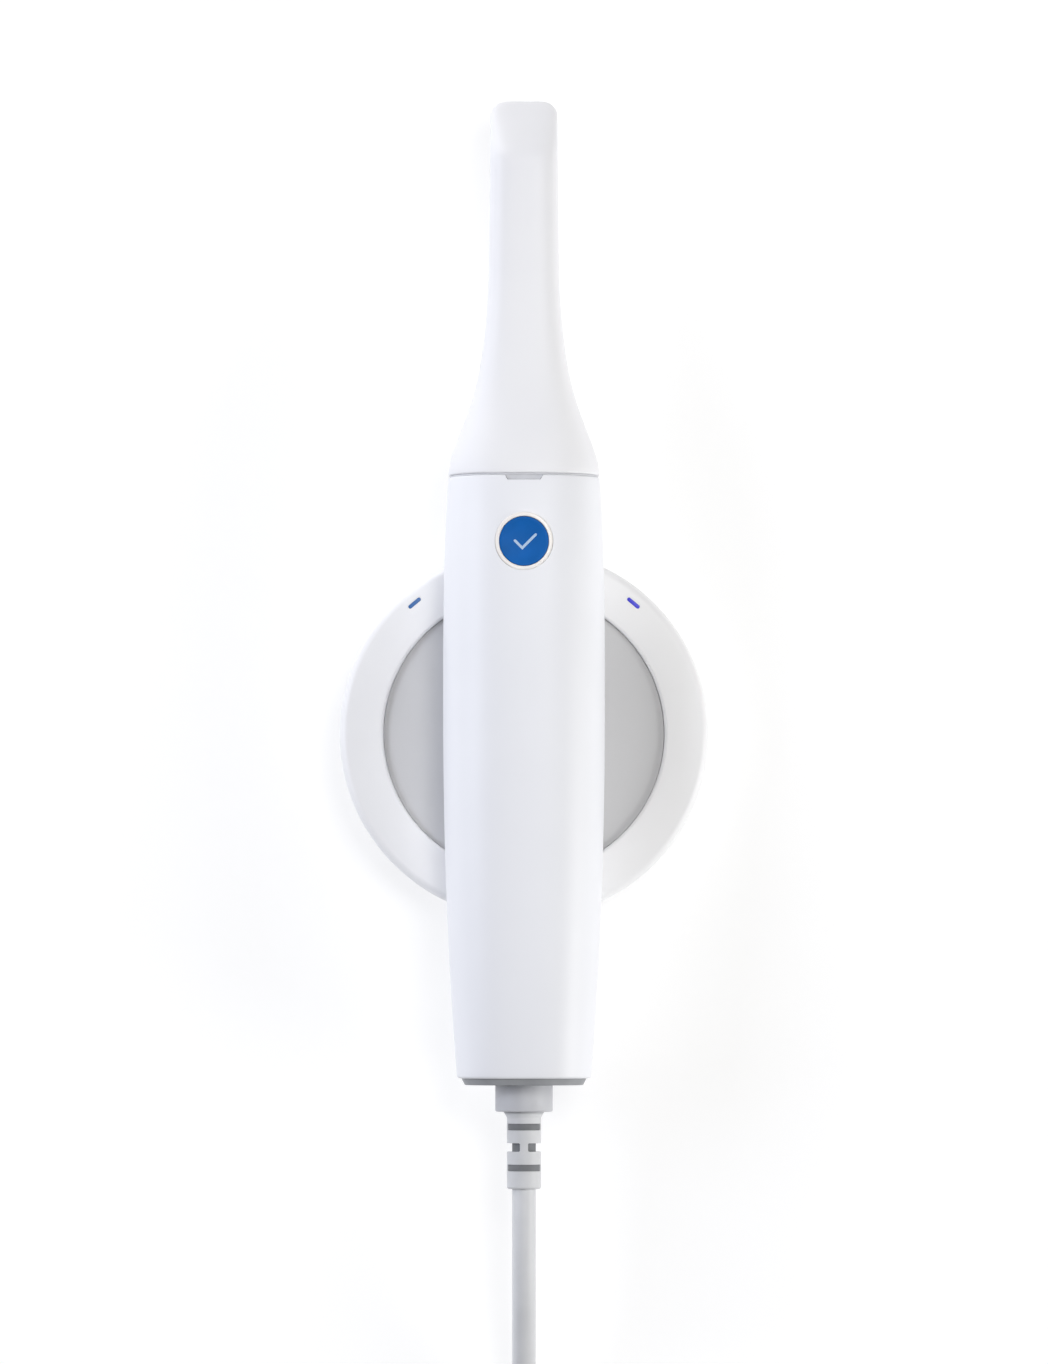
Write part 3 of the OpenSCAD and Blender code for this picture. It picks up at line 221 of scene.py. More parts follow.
# What each finish is made of. Sizes are the real grain, in millimetres, drawn coarser where it wouldn't show.
finishes = {
    # Injection-moulded ABS: satin white that rolls softly from light to shade
    "white_abs": (mouldedPlastic, "abs moulded satin white", {
        "colour": "edeef2", "shade": "eaebef", "driftMm": 35, "grainMm": 0.35, "rough": 0.46,
        "roughSpread": 0.03, "bump": 0.05, "coat": 0.05, "coatRough": 0.3}),
    # Autoclavable PEEK-type moulding: a touch warmer and duller than the handle
    "tip_white": (mouldedPlastic, "autoclavable polymer moulded white", {
        "colour": "eeeef0", "shade": "ebebee", "driftMm": 30, "grainMm": 0.3, "rough": 0.48,
        "roughSpread": 0.03, "bump": 0.05, "coat": 0.05, "coatRough": 0.3}),
    # Moulded ABS cover: flat grey-white that carries soft shadows
    "ring_white": (mouldedPlastic, "abs moulded pale ring", {
        "colour": "f3f3f4", "shade": "f0f0f1", "driftMm": 30, "grainMm": 0.3, "rough": 0.42,
        "roughSpread": 0.03, "bump": 0.05, "coat": 0.1, "coatRough": 0.3}),
    # Soft-touch moulding: mid grey and matt, so the handle reads against it
    "pad_grey": (mouldedPlastic, "soft touch moulded grey", {
        "colour": "cececf", "shade": "cbcbcc", "driftMm": 25, "grainMm": 0.4, "rough": 0.62,
        "roughSpread": 0.05, "bump": 0.12}),
    # Non-slip rubber: nearly black, pored and dull
    "sole_rubber": (softRubber, "rubber moulded non slip", {
        "colour": "343436", "shade": "28282a", "mottleMm": 6, "poreMm": 0.6, "rough": 0.8, "bump": 0.35}),
    # Eroded-mould ABS: even light grey underside
    "base_grey": (mouldedPlastic, "abs moulded eroded grey", {
        "colour": "cdced0", "shade": "c6c7c9", "driftMm": 18, "grainMm": 0.5, "rough": 0.6,
        "roughSpread": 0.06, "bump": 0.3}),
    # Zinc-plated steel plate: dull, slightly blue
    "ballast_steel": (workedMetal, "steel plate zinc plated", {
        "colour": "b8bcc2", "shade": "9da1a8", "markMm": 1.2, "stretch": (1, 1, 1),
        "rough": 0.42, "bump": 0.1}),
    # Turned screw steel: bright rings under the head
    "screw_steel": (workedMetal, "steel turned bright", {
        "colour": "c9cacd", "shade": "a5a6aa", "markMm": 0.5, "stretch": (1, 1, 6),
        "rough": 0.3, "bump": 0.15}),
    # Polished acrylic inlays: small saturated glints
    "mark_left_blue": (mouldedPlastic, "acrylic inlay pale blue", {
        "colour": "3f74b4", "shade": "376aa8", "driftMm": 2, "grainMm": 0.2, "rough": 0.4,
        "roughSpread": 0.03, "bump": 0.03, "coat": 0.2, "coatRough": 0.2}),
    "mark_right_blue": (mouldedPlastic, "acrylic inlay deep blue", {
        "colour": "3a3ae0", "shade": "3232d2", "driftMm": 2, "grainMm": 0.2, "rough": 0.4,
        "roughSpread": 0.03, "bump": 0.03, "coat": 0.2, "coatRough": 0.2}),
    # Moulded ABS cap: deep satin blue that lightens where the dish faces the light
    "button_blue": (mouldedPlastic, "abs moulded satin blue", {
        "colour": "0660b0", "shade": "0459a2", "driftMm": 5, "grainMm": 0.2, "rough": 0.5,
        "roughSpread": 0.03, "bump": 0.04, "ior": 1.25}),
    # Pad-printed ink: flat pale blue lines
    "tick_blue": (mouldedPlastic, "ink pad printed pale blue", {
        "colour": "b4cbe4", "shade": "a8c1de", "driftMm": 1.5, "grainMm": 0.2, "rough": 0.5,
        "roughSpread": 0.05, "bump": 0.05}),
    "bezel_white": (mouldedPlastic, "abs moulded satin bezel", {
        "colour": "f4f0ec", "shade": "f1ede8", "driftMm": 12, "grainMm": 0.25, "rough": 0.34,
        "roughSpread": 0.03, "bump": 0.04, "coat": 0.2, "coatRough": 0.2}),
    # Silicone: pale grey line that closes the seam; on the pad in the notch its grey is also painted shade
    "gasket_grey": (softRubber, "silicone moulded grey", {
        "colour": "d2d3d7", "shade": "cbccd0", "mottleMm": 3, "poreMm": 0.3, "rough": 0.55, "bump": 0.1}),
    "inner_white": (mouldedPlastic, "polycarbonate moulded matt white", {
        "colour": "e2e2e3", "shade": "dadadc", "driftMm": 15, "grainMm": 0.4, "rough": 0.5,
        "roughSpread": 0.05, "bump": 0.12}),
    # Glass-filled nylon: mid grey for the inner bulkhead; on the heel cap the same grey is painted shade for
    # the end face
    "bulkhead_grey": (mouldedPlastic, "glass filled nylon grey and painted heel shade", {
        "colour": "9c9ea1", "shade": "8f9194", "driftMm": 6, "grainMm": 0.5, "rough": 0.58,
        "roughSpread": 0.07, "bump": 0.25}),
    # Bead-blasted cast aluminium: even silver grain
    "frame_aluminium": (workedMetal, "aluminium cast bead blasted", {
        "colour": "cfd1d4", "shade": "b6b8bc", "markMm": 0.5, "stretch": (1, 1, 1),
        "rough": 0.45, "bump": 0.25}),
    # Black-anodised turning: dark with fine rings, so stray light dies inside
    "barrel_black": (workedMetal, "aluminium turned black anodised", {
        "colour": "2c2c2f", "shade": "1d1d20", "markMm": 0.4, "stretch": (1, 5, 1),
        "rough": 0.4, "bump": 0.15}),
    "optic_glass": (coatedGlass, "optical glass polished and coated", {
        "colour": "dcecf7", "metallic": 0.0, "alpha": 0.35, "rough": 0.02, "roughRise": 0.03, "hazeMm": 4,
        "coat": 0.6, "coatTint": "b9c8ff", "ior": 1.52}),
    # Front-silvered mirror: full reflection with a trace of haze
    "mirror_glass": (coatedGlass, "mirror front silvered", {
        "colour": "f2f5f7", "metallic": 1.0, "alpha": 1.0, "rough": 0.02, "roughRise": 0.03, "hazeMm": 5,
        "coat": 0.0, "coatTint": "ffffff", "ior": 1.5}),
    "mirror_rim": (mouldedPlastic, "nylon moulded dark grey", {
        "colour": "4a4a4c", "shade": "404042", "driftMm": 3, "grainMm": 0.3, "rough": 0.55,
        "roughSpread": 0.05, "bump": 0.15}),
    "board_green": (circuitBoard, "fibreglass board solder masked", {
        "mask": "0f5a34", "maskShade": "0c4f2d", "track": "2c7a4e", "trackMm": 1.6}),
    "chip_black": (mouldedPlastic, "epoxy moulded chip", {
        "colour": "262628", "shade": "1e1e20", "driftMm": 2, "grainMm": 0.25, "rough": 0.55,
        "roughSpread": 0.06, "bump": 0.2}),
    "socket_ivory": (mouldedPlastic, "nylon moulded ivory", {
        "colour": "e9e1c8", "shade": "e0d7bb", "driftMm": 4, "grainMm": 0.3, "rough": 0.45,
        "roughSpread": 0.05, "bump": 0.1}),
    "standoff_brass": (workedMetal, "brass turned", {
        "colour": "d9b15a", "shade": "c09a45", "markMm": 0.4, "stretch": (1, 1, 6),
        "rough": 0.3, "bump": 0.12}),
    # Matt nylon gland: darker than the cord, so the joint reads
    "gland_grey": (mouldedPlastic, "nylon moulded gland grey", {
        "colour": "c4c5c9", "shade": "bdbec2", "driftMm": 8, "grainMm": 0.3, "rough": 0.5,
        "roughSpread": 0.05, "bump": 0.1}),
    # Flexible moulded relief: soft pale grey with a slight sheen
    "relief_grey": (softRubber, "elastomer moulded pale grey", {
        "colour": "d3d4d6", "shade": "cbccce", "mottleMm": 5, "poreMm": 0.3, "rough": 0.5, "bump": 0.08}),
    # Inner jacket: darker grey as painted shade, so the slots of the strain relief read as open and shadowed
    "core_grey": (softRubber, "cable jacket grey as painted slot shade", {
        "colour": "77797c", "shade": "6c6e71", "mottleMm": 6, "poreMm": 0.3, "rough": 0.6, "bump": 0.06}),
    # Extruded jacket: smooth pale grey, faintly mottled along its length
    "cord_grey": (softRubber, "cable jacket extruded pale grey", {
        "colour": "d6d7d9", "shade": "cfd0d2", "mottleMm": 9, "poreMm": 0.35, "rough": 0.48, "bump": 0.06}),
    # Woven strap: thread spacing drawn at 0.6 mm
    "tie_fabric": (wovenStrap, "nylon strap woven dark grey", {
        "colour": "55575b", "shade": "36373a", "threadMm": 0.6}),
    "plug_white": (mouldedPlastic, "elastomer overmoulded pale", {
        "colour": "d8d9db", "shade": "d0d1d3", "driftMm": 8, "grainMm": 0.35, "rough": 0.5,
        "roughSpread": 0.05, "bump": 0.12}),
    "plug_steel": (workedMetal, "steel pressed nickel plated", {
        "colour": "d4d5d8", "shade": "bfc0c4", "markMm": 0.6, "stretch": (1, 4, 4),
        "rough": 0.26, "bump": 0.05}),
    "tongue_black": (mouldedPlastic, "polyester moulded black", {
        "colour": "29292b", "shade": "202022", "driftMm": 2, "grainMm": 0.25, "rough": 0.5,
        "roughSpread": 0.05, "bump": 0.1}),
}
materials = {slot: make(name, s) for slot, (make, name, s) in finishes.items()}
nodeSlot = {row["node"]: row["material_slot"] for row in frame["record"]["subparts"]}
for nodeName, node in frame["nodes"].items():
    node.data.materials.clear()
    node.data.materials.append(materials[nodeSlot[nodeName]])
print("materials made:", len(materials))


# Mesh helpers
sharpTurn = math.radians(38)  # edges that turn more than this stay crisp
weldDistance = 0.0005 * mm


def addPiece(name, points, faces, slot, body, replaced=()):
    mesh = bpy.data.meshes.new(name)
    mesh.from_pydata([tuple(p) for p in points], [], faces)
    mesh.validate()
    fixer = bmesh.new()
    fixer.from_mesh(mesh)
    bmesh.ops.remove_doubles(fixer, verts=fixer.verts, dist=weldDistance)
    bmesh.ops.recalc_face_normals(fixer, faces=fixer.faces)
    fixer.to_mesh(mesh)
    fixer.free()
    mesh.shade_smooth()
    mesh.set_sharp_from_angle(angle=sharpTurn)
    piece = bpy.data.objects.new(name, mesh)
    bpy.context.collection.objects.link(piece)
    mesh.materials.append(materials[slot])
    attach(piece, body)
    if replaced:
        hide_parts(*replaced)
    return piece


# Skins a solid over rings with equal numbers of points. Ends are closed, or the last ring joins the first.
def skinRings(rings, closeEnds=True, joinEnds=False):
    count = len(rings[0])
    points = [p for ring in rings for p in ring]
    faces = []
    last = len(rings) if joinEnds else len(rings) - 1
    for i in range(last):
        a, b = i * count, ((i + 1) % len(rings)) * count
        for j in range(count):
            k = (j + 1) % count
            faces.append((a + j, a + k, b + k, b + j))
    if closeEnds and not joinEnds:
        faces.append(tuple(range(count))[::-1])
        faces.append(tuple(range((len(rings) - 1) * count, len(rings) * count)))
    return points, faces


# Angles of a quarter circle, for a rounded edge
def quarterTurn(steps):
    return [math.pi / 2 * k / steps for k in range(steps + 1)]


# Rounds the corners of a profile: each point is (radius, height, rounding)
def roundProfile(corners, steps=6):
    path = []
    count = len(corners)
    most = 0.49  # of a side, so the roundings at its two ends never meet
    for i, (x, z, r) in enumerate(corners):
        here = Vector((x, z))
        before = Vector(corners[i - 1][:2]) - here
        after = Vector(corners[(i + 1) % count][:2]) - here
        if r <= 0:
            path.append((x, z))
            continue
        half = before.angle(after) / 2
        reach = min(r / math.tan(half), before.length * most, after.length * most)
        r = reach * math.tan(half)
        middle = here + (before.normalized() + after.normalized()).normalized() * (r / math.sin(half))
        start = here + before.normalized() * reach - middle
        end = here + after.normalized() * reach - middle
        turn = math.atan2(start.x * end.y - start.y * end.x, start.dot(end))
        for k in range(steps + 1):
            a = turn * k / steps
            path.append((middle.x + start.x * math.cos(a) - start.y * math.sin(a),
                         middle.y + start.x * math.sin(a) + start.y * math.cos(a)))
    return path


# Turns a closed profile about an axis through base. along is "Z", "Y" or "X".
def turnProfile(profile, base, along="Z", segments=128):
    rings = []
    for i in range(segments):
        a = 2 * math.pi * i / segments
        ring = []
        for r, h in profile:
            c, s = r * math.cos(a), r * math.sin(a)
            offset = {"Z": (c, s, h), "Y": (c, h, -s), "X": (h, c, s)}[along]
            ring.append(Vector(base) + Vector(offset))
        rings.append(ring)
    return skinRings(rings, joinEnds=True)


def cutWith(piece, points, faces):
    mesh = bpy.data.meshes.new("cutter")
    mesh.from_pydata([tuple(p) for p in points], [], faces)
    fixer = bmesh.new()
    fixer.from_mesh(mesh)
    bmesh.ops.recalc_face_normals(fixer, faces=fixer.faces)
    fixer.to_mesh(mesh)
    fixer.free()
    cutter = bpy.data.objects.new("cutter", mesh)
    bpy.context.collection.objects.link(cutter)
    cut = piece.modifiers.new("cut", "BOOLEAN")
    cut.operation = "DIFFERENCE"
    cut.solver = "EXACT"
    cut.object = cutter
    graph = bpy.context.evaluated_depsgraph_get()
    result = bpy.data.meshes.new_from_object(piece.evaluated_get(graph))
    piece.modifiers.clear()
    piece.data = result
    bpy.data.objects.remove(cutter)


def prism(outline, z0, z1):
    return skinRings([[Vector((x, y, z)) for x, y in outline] for z in (z0, z1)])


def roundedRect(cx, cy, w, h, r, steps=6):
    corners = [(cx - w / 2, cy - h / 2, r), (cx + w / 2, cy - h / 2, r), (cx + w / 2, cy + h / 2, r),
               (cx - w / 2, cy + h / 2, r)]
    return roundProfile(corners, steps)


# Shapes are drawn in millimetres, and Blender holds metres
def inMetres(shape):
    points, faces = shape
    return [Vector(p) * mm for p in points], faces


# Gives a cut mesh the smooth normals that its surface had before it was cut
def keepSmooth(piece, before):
    tree = BVHTree.FromPolygons([v.co for v in before.vertices], [tuple(p.vertices) for p in before.polygons])
    mesh = piece.data
    normals = [None] * len(mesh.loops)
    sameWay, inward, near = 0.9, 0.02, 0.02 * mm
    for face in mesh.polygons:
        for loopIndex in face.loop_indices:
            spot = mesh.vertices[mesh.loops[loopIndex].vertex_index].co
            normal = face.normal
            probe = spot.lerp(face.center, inward)
            where, sourceNormal, sourceIndex, distance = tree.find_nearest(probe)
            if sourceIndex is not None and sourceNormal.dot(normal) > sameWay and distance < near:
                source = before.polygons[sourceIndex]
                total = Vector()
                for index in source.vertices:
                    gap = (before.vertices[index].co - spot).length
                    total += before.vertices[index].normal / (gap + 0.001 * mm)
                normal = total.normalized()
            normals[loopIndex] = tuple(normal)
    mesh.normals_split_custom_set(normals)


# The free cord comes first: its route repeats the design's own points
cordSettings = {
    "diameter": 6.4, "coilX": 45.6, "coilY": -232.0, "columns": 4, "perTurn": 72, "perSpan": 6,
    "run": [(0, -123, 29.5), (0, -131, 29.5), (0, -140, 28.9), (0, -150, 27), (0, -160, 23.6), (0, -170, 19),
            (0, -180, 13.9), (0, -190, 9.3), (0, -200, 5.9), (0, -210, 4.3), (0, -221, 4), (0, -232, 4)],
    "tail": [(0, -232, 10.4), (0.2, -244, 10.3), (1.4, -256, 8.9), (5, -268, 6.5), (12.5, -278.5, 4.7),
             (23.5, -286.8, 4), (36, -290.8, 4), (48, -291.5, 4)],
}


def smoothRoute(points, perSpan):
    route = [Vector(p) for p in points]
    padded = [route[0] * 2 - route[1]] + route + [route[-1] * 2 - route[-2]]
    curve = []
    for i in range(1, len(padded) - 2):
        a, b, c, d = padded[i - 1:i + 3]
        for k in range(perSpan):
            t = k / perSpan
            curve.append(0.5 * (2 * b + (c - a) * t + (2 * a - 5 * b + 4 * c - d) * t * t
                                + (3 * b - 3 * c + d - a) * t * t * t))
    return curve + [route[-1]]


# Each turn takes a third of its way to move to the next place. The lower ones move in at their end, the
# middle one climbs halfway round, and the upper ones move out at their start.
def coilRoute(s):
    d, columns = s["diameter"], s["columns"]
    low, high = s["run"][-1][2], s["run"][-1][2] + d
    places = [(s["coilX"] - k * d, low) for k in range(columns)]
    places += [(s["coilX"] - k * d, high) for k in range(columns - 1, -1, -1)]
    starts = [2 / 3] * (columns - 1) + [1 / 3] + [0.0] * (columns - 1)
    route = []
    for start, (r0, z0), (r1, z1) in zip(starts, places, places[1:]):
        for k in range(s["perTurn"]):
            share = k / s["perTurn"]
            move = min(1.0, max(0.0, (share - start) * 3))
            move = move * move * (3 - 2 * move)
            r, z = r0 + (r1 - r0) * move, z0 + (z1 - z0) * move
            a = math.pi + 2 * math.pi * share
            route.append(Vector((s["coilX"] + r * math.cos(a), s["coilY"] + r * math.sin(a), z)))
    return route


cordStart = smoothRoute(cordSettings["run"], cordSettings["perSpan"])[:-1]
cordEnd = smoothRoute(cordSettings["tail"], cordSettings["perSpan"])
cordLine = cordStart + coilRoute(cordSettings) + cordEnd
cordCurve = bpy.data.curves.new("usbCord", "CURVE")
cordCurve.dimensions = "3D"
cordCurve.bevel_depth = cordSettings["diameter"] / 2 * mm
cordCurve.bevel_resolution = 8
cordCurve.use_fill_caps = True
spline = cordCurve.splines.new("POLY")
spline.points.add(len(cordLine) - 1)
for point, p in zip(spline.points, cordLine):
    point.co = (p.x * mm, p.y * mm, p.z * mm, 1)
spline.use_smooth = True
usbCord = bpy.data.objects.new("usbCord", cordCurve)
bpy.context.collection.objects.link(usbCord)
cordCurve.materials.append(materials["cord_grey"])
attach(usbCord, "handpiece")
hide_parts("cord_run", "cord_coil", "cord_tail")

# The cradle's underside is at the origin and the handle lies along Y
handle = {
    "sectionPower": 2.6, "seamEase": 3, "heelEase": 2.2, "widestY": 9.0, "seamNarrowing": 2.8,
    "heelNarrowing": 7.8, "seamTopDrop": 3.0, "seamBackRise": 4.0, "heelTopDrop": 6.0,
    "heelBackRise": 4.0, "wall": 2.4, "heelFillet": 0.7, "capShow": 1.8, "seamFillet": 0.5,
    "partingFillet": 0.22, "partingGap": 0.12, "halfSteps": 72, "stations": 72, "ovalSteps": 160,
    "cutLow": 38, "cutHigh": 70,  # heights between which the button's hole and the notch are cut
}
upperLow, upperHigh = boxMm("upper_shell")
lowerLow = boxMm("lower_shell")[0]
handle["width"] = upperHigh.x - upperLow.x
handle["seamY"] = upperHigh.y
handle["heelY"] = upperLow.y
handle["topZ"] = upperHigh.z
handle["backZ"] = lowerLow.z


def handleEase(y):
    h = handle
    if y > h["widestY"]:
        return ((y - h["widestY"]) / (h["seamY"] - h["widestY"])) ** h["seamEase"]
    return ((h["widestY"] - y) / (h["widestY"] - h["heelY"])) ** h["heelEase"]


def handleSize(y):
    h, e = handle, handleEase(y)
    front = y > h["widestY"]
    half = h["width"] / 2 - e * (h["seamNarrowing"] if front else h["heelNarrowing"]) / 2
    top = h["topZ"] - e * (h["seamTopDrop"] if front else h["heelTopDrop"])
    back = h["backZ"] + e * (h["seamBackRise"] if front else h["heelBackRise"])
    return half, top, back


def signedPower(v, p):
    return math.copysign(abs(v) ** p, v)


def oval(half, top, back, power, t):
    return (half * signedPower(math.cos(t), 2 / power),
            (top + back) / 2 + (top - back) / 2 * signedPower(math.sin(t), 2 / power))


def handlePoint(y, inset, t):
    half, top, back = handleSize(y)
    x, z = oval(half - inset, top - inset, back + inset, handle["sectionPower"], t)
    return Vector((x, y, z))


# Stations along the handle with a quarter round at each end: (y, inset)
def handleStations():
    h = handle
    rows = []
    end = h["heelY"] + h["capShow"]
    for a in quarterTurn(8):
        rows.append((end + h["heelFillet"] * (1 - math.cos(a)), h["heelFillet"] * (1 - math.sin(a))))
    y0, y1 = end + h["heelFillet"], h["seamY"] - h["seamFillet"]
    rows += [(y0 + (y1 - y0) * i / h["stations"], 0) for i in range(1, h["stations"])]
    for a in quarterTurn(5):
        rows.append((y1 + h["seamFillet"] * math.sin(a), h["seamFillet"] * (1 - math.cos(a))))
    return rows


# Half of the casing, rounded where the two halves meet. side is 1 for the button's half and -1 for the back.
def casingHalf(side):
    h = handle
    rings = []
    for y, inset in handleStations():
        half, top, back = handleSize(y)
        middle, tall = (top + back) / 2, (top - back) / 2 - inset
        edgeHeights = [h["partingFillet"] * (1 - math.cos(a)) for a in quarterTurn(4)]
        edgeAngles = [math.asin((d / tall) ** (h["sectionPower"] / 2)) for d in edgeHeights]
        steps = h["halfSteps"]
        spread = [edgeAngles[-1] + (math.pi - 2 * edgeAngles[-1]) * i / steps for i in range(1, steps)]
        angles = edgeAngles + spread + [math.pi - a for a in reversed(edgeAngles)]
        ring = []
        for a in angles:
            p = handlePoint(y, inset, side * a)
            short = max(0.0, h["partingFillet"] - abs(p.z - middle))
            cutIn = h["partingFillet"] - math.sqrt(h["partingFillet"] ** 2 - short ** 2)
            ring.append(Vector((p.x - math.copysign(cutIn, p.x), y, p.z + side * h["partingGap"] / 2)))
        for a in reversed(angles):
            p = handlePoint(y, h["wall"], side * a)
            ring.append(Vector((p.x, y, p.z + side * h["partingGap"] / 2)))
        rings.append([p * mm for p in ring])
    return stripRings(rings)


# Skins rings that run out along one wall and back along the other, so their ends close in strips
def stripRings(rings):
    points, faces = skinRings(rings, closeEnds=False)
    count = len(rings[0])
    last = (len(rings) - 1) * count
    for j in range(count // 2 - 1):
        k = count - 1 - j
        faces.append((j, k, k - 1, j + 1))
        faces.append((last + j, last + j + 1, last + k - 1, last + k))
    return points, faces


def circleOutline(cx, cy, r, steps=96):
    return [(cx + r * math.cos(2 * math.pi * i / steps), cy + r * math.sin(2 * math.pi * i / steps))
            for i in range(steps)]


# Height that the casing's upper face has lost at x, measured from its crown
def surfaceDrop(x, y):
    half, top, back = handleSize(y)
    tall = (top - back) / 2
    return tall * (1 - (1 - min(1, abs(x) / half) ** handle["sectionPower"]) ** (1 / handle["sectionPower"]))


bezelLow, bezelHigh = boxMm("button_bezel")
capLow, capHigh = boxMm("button_cap")
button = {
    "y": (capLow.y + capHigh.y) / 2, "radius": (capHigh.x - capLow.x) / 2, "top": capHigh.z, "foot": capLow.z,
    "capThick": 2.2, "stemRadius": 2.0, "dishDepth": 0.7, "rim": 0.5, "edge": 0.15, "gap": 0.1,
    "crownDepth": 2, "holeRadius": 7.84, "bezelTop": 0.1, "bezelEdge": 0.25, "bezelFloor": 1, "stemGap": 0.3,
    "flange": 1.4, "flangeThick": 1.2, "flangeEdge": 0.2, "tick": [(-2.4, 0.1), (-0.46, -1.84), (3.1, 1.72)],
    "tickWidth": 0.7, "tickRise": 0.05, "tickDepth": 0.25, "tickShoulder": 0.8, "tickFoot": 0.4,
    "notchWidth": 10.4, "notchLength": 1.3, "notchSlope": 0.8,
}
b = button

upperShell = addPiece("upperShell", *casingHalf(1), "white_abs", "handpiece", ["upper_shell"])
uncut = upperShell.data.copy()
buttonHole = prism(circleOutline(0, b["y"], b["holeRadius"]), handle["cutLow"], handle["cutHigh"])
cutWith(upperShell, *inMetres(buttonHole))
wide, deep, slope, seamY = b["notchWidth"] / 2, b["notchLength"], b["notchSlope"], handle["seamY"]
notchOutline = [(-wide, seamY + 1), (-wide, seamY), (-wide + slope, seamY - deep),
                (wide - slope, seamY - deep), (wide, seamY), (wide, seamY + 1)]
cutWith(upperShell, *inMetres(prism(notchOutline, handle["cutLow"], handle["cutHigh"])))
keepSmooth(upperShell, uncut)
addPiece("lowerShell", *casingHalf(-1), "white_abs", "handpiece", ["lower_shell"])

# The gasket closes the gap between casing and tip just below the surface, and a pad of it lines the notch.
# The pad is partly a real tab and partly painted shade: its grey darkens the notch.
gasketLow, gasketHigh = boxMm("seam_gasket")
screwLow, screwHigh = boxMm("bulkhead_screws")
gasket = {
    "rimInset": 0.35, "rimStart": 0.03, "rimEnd": 0.46, "edge": 0.1, "noseRadius": 14.3, "headRadius": 1.7,
    "holeRadius": 2.0, "padInset": 0.12, "padDepth": 0.6, "padThick": 1.0, "plateGap": 0.05,
}


def gasketRings():
    g, h = gasket, handle
    plateInset = h["wall"] + g["plateGap"]
    start, end, inset = seamY + g["rimStart"], seamY + g["rimEnd"], g["rimInset"]
    rows = [(gasketLow.y, plateInset), (start, plateInset), (start, inset), (end - g["edge"], inset),
            (end, inset + g["edge"])]
    half, top, back = handleSize(seamY)
    rings = []
    for y, inset in rows:
        ring = []
        for k in range(h["ovalSteps"]):
            t = 2 * math.pi * k / h["ovalSteps"]
            x, z = oval(half - inset, top - inset, back + inset, h["sectionPower"], t)
            ring.append(Vector((x, y, z)) * mm)
        rings.append(ring)
    return rings


# Cuts a stepped hole along Y: each step is (radius, start, end)
def boreAlongY(piece, centre, steps):
    profile = [(0, steps[0][1])]
    for radius, start, end in steps:
        profile += [(radius, start), (radius, end)]
    cutWith(piece, *inMetres(turnProfile(profile + [(0, steps[-1][2])], centre, "Y", 64)))


seamGasket = addPiece("seamGasket", *skinRings(gasketRings()), "gasket_grey", "handpiece", ["seam_gasket"])
noseZ = (screwLow.z + screwHigh.z) / 2
screwReach = screwHigh.x - gasket["headRadius"]
bores = [(0, noseZ, gasket["noseRadius"])]
bores += [(i * screwReach, noseZ + j * screwReach, gasket["holeRadius"]) for i in (-1, 1) for j in (-1, 1)]
for x, z, r in bores:
    boreAlongY(seamGasket, (x, 0, z), [(r, gasketLow.y - 1, gasketHigh.y + 1)])
seamGasket.data.set_sharp_from_angle(angle=sharpTurn)
seamHalf, seamTop, seamBack = handleSize(seamY)
padOut, padTopZ = gasket["padInset"], seamTop - gasket["padDepth"]
padOutline = [(padOut - wide, seamY), (padOut - wide + slope, seamY + padOut - deep),
              (wide - slope - padOut, seamY + padOut - deep), (wide - padOut, seamY)]
addPiece("notchPad", *inMetres(prism(padOutline, padTopZ - gasket["padThick"], padTopZ)), "gasket_grey",
         "handpiece")
print("casing made")


# Button: a dished cap, its printed tick and the bezel round it. They follow the casing's crown, fully from a
# millimetre above fromZ.
def followCrown(points, fromZ):
    for p in points:
        share = min(1.0, max(0.0, p.z - fromZ))
        p.z -= surfaceDrop(p.x, p.y) * share
    return [p * mm for p in points]


dishRadius = ((b["radius"] - b["rim"]) ** 2 + b["dishDepth"] ** 2) / (2 * b["dishDepth"])


def dishHeight(r):
    return b["top"] - b["dishDepth"] + dishRadius - math.sqrt(dishRadius ** 2 - r * r)


dishEdge = b["radius"] - b["rim"]
capProfile = [(dishEdge * i / 16, dishHeight(dishEdge * i / 16)) for i in range(17)]
capProfile += roundProfile([(dishEdge, b["top"], 0), (b["radius"], b["top"], b["edge"]),
                            (b["radius"], b["top"] - b["capThick"], 0.1),
                            (b["stemRadius"], b["top"] - b["capThick"], 0), (b["stemRadius"], b["foot"], 0.1),
                            (0, b["foot"], 0)])[1:]
capPoints, capFaces = turnProfile(capProfile, (0, b["y"], 0), segments=96)
capBackZ = b["top"] - b["capThick"]
addPiece("buttonCap", followCrown(capPoints, capBackZ), capFaces, "button_blue", "button", ["button_cap"])


def strokeSections(corners, width, perSpan=10):
    a, c, e = [Vector(p) for p in corners]
    first, second = (c - a).normalized(), (e - c).normalized()
    turn = (first + second).normalized()
    stretch = 1 / turn.dot(first)
    narrowest = 0.08
    sections = []
    for angle in quarterTurn(4):
        half = width * max(narrowest, math.sin(angle))
        sections.append((a - first * width * math.cos(angle), first, half, 1))
    sections += [(a.lerp(c, k / perSpan), first, width, 1) for k in range(1, perSpan)]
    sections.append((c, turn, width, stretch))
    sections += [(c.lerp(e, k / perSpan), second, width, 1) for k in range(1, perSpan)]
    for angle in quarterTurn(4):
        half = width * max(narrowest, math.cos(angle))
        sections.append((e + second * width * math.sin(angle), second, half, 1))
    return sections


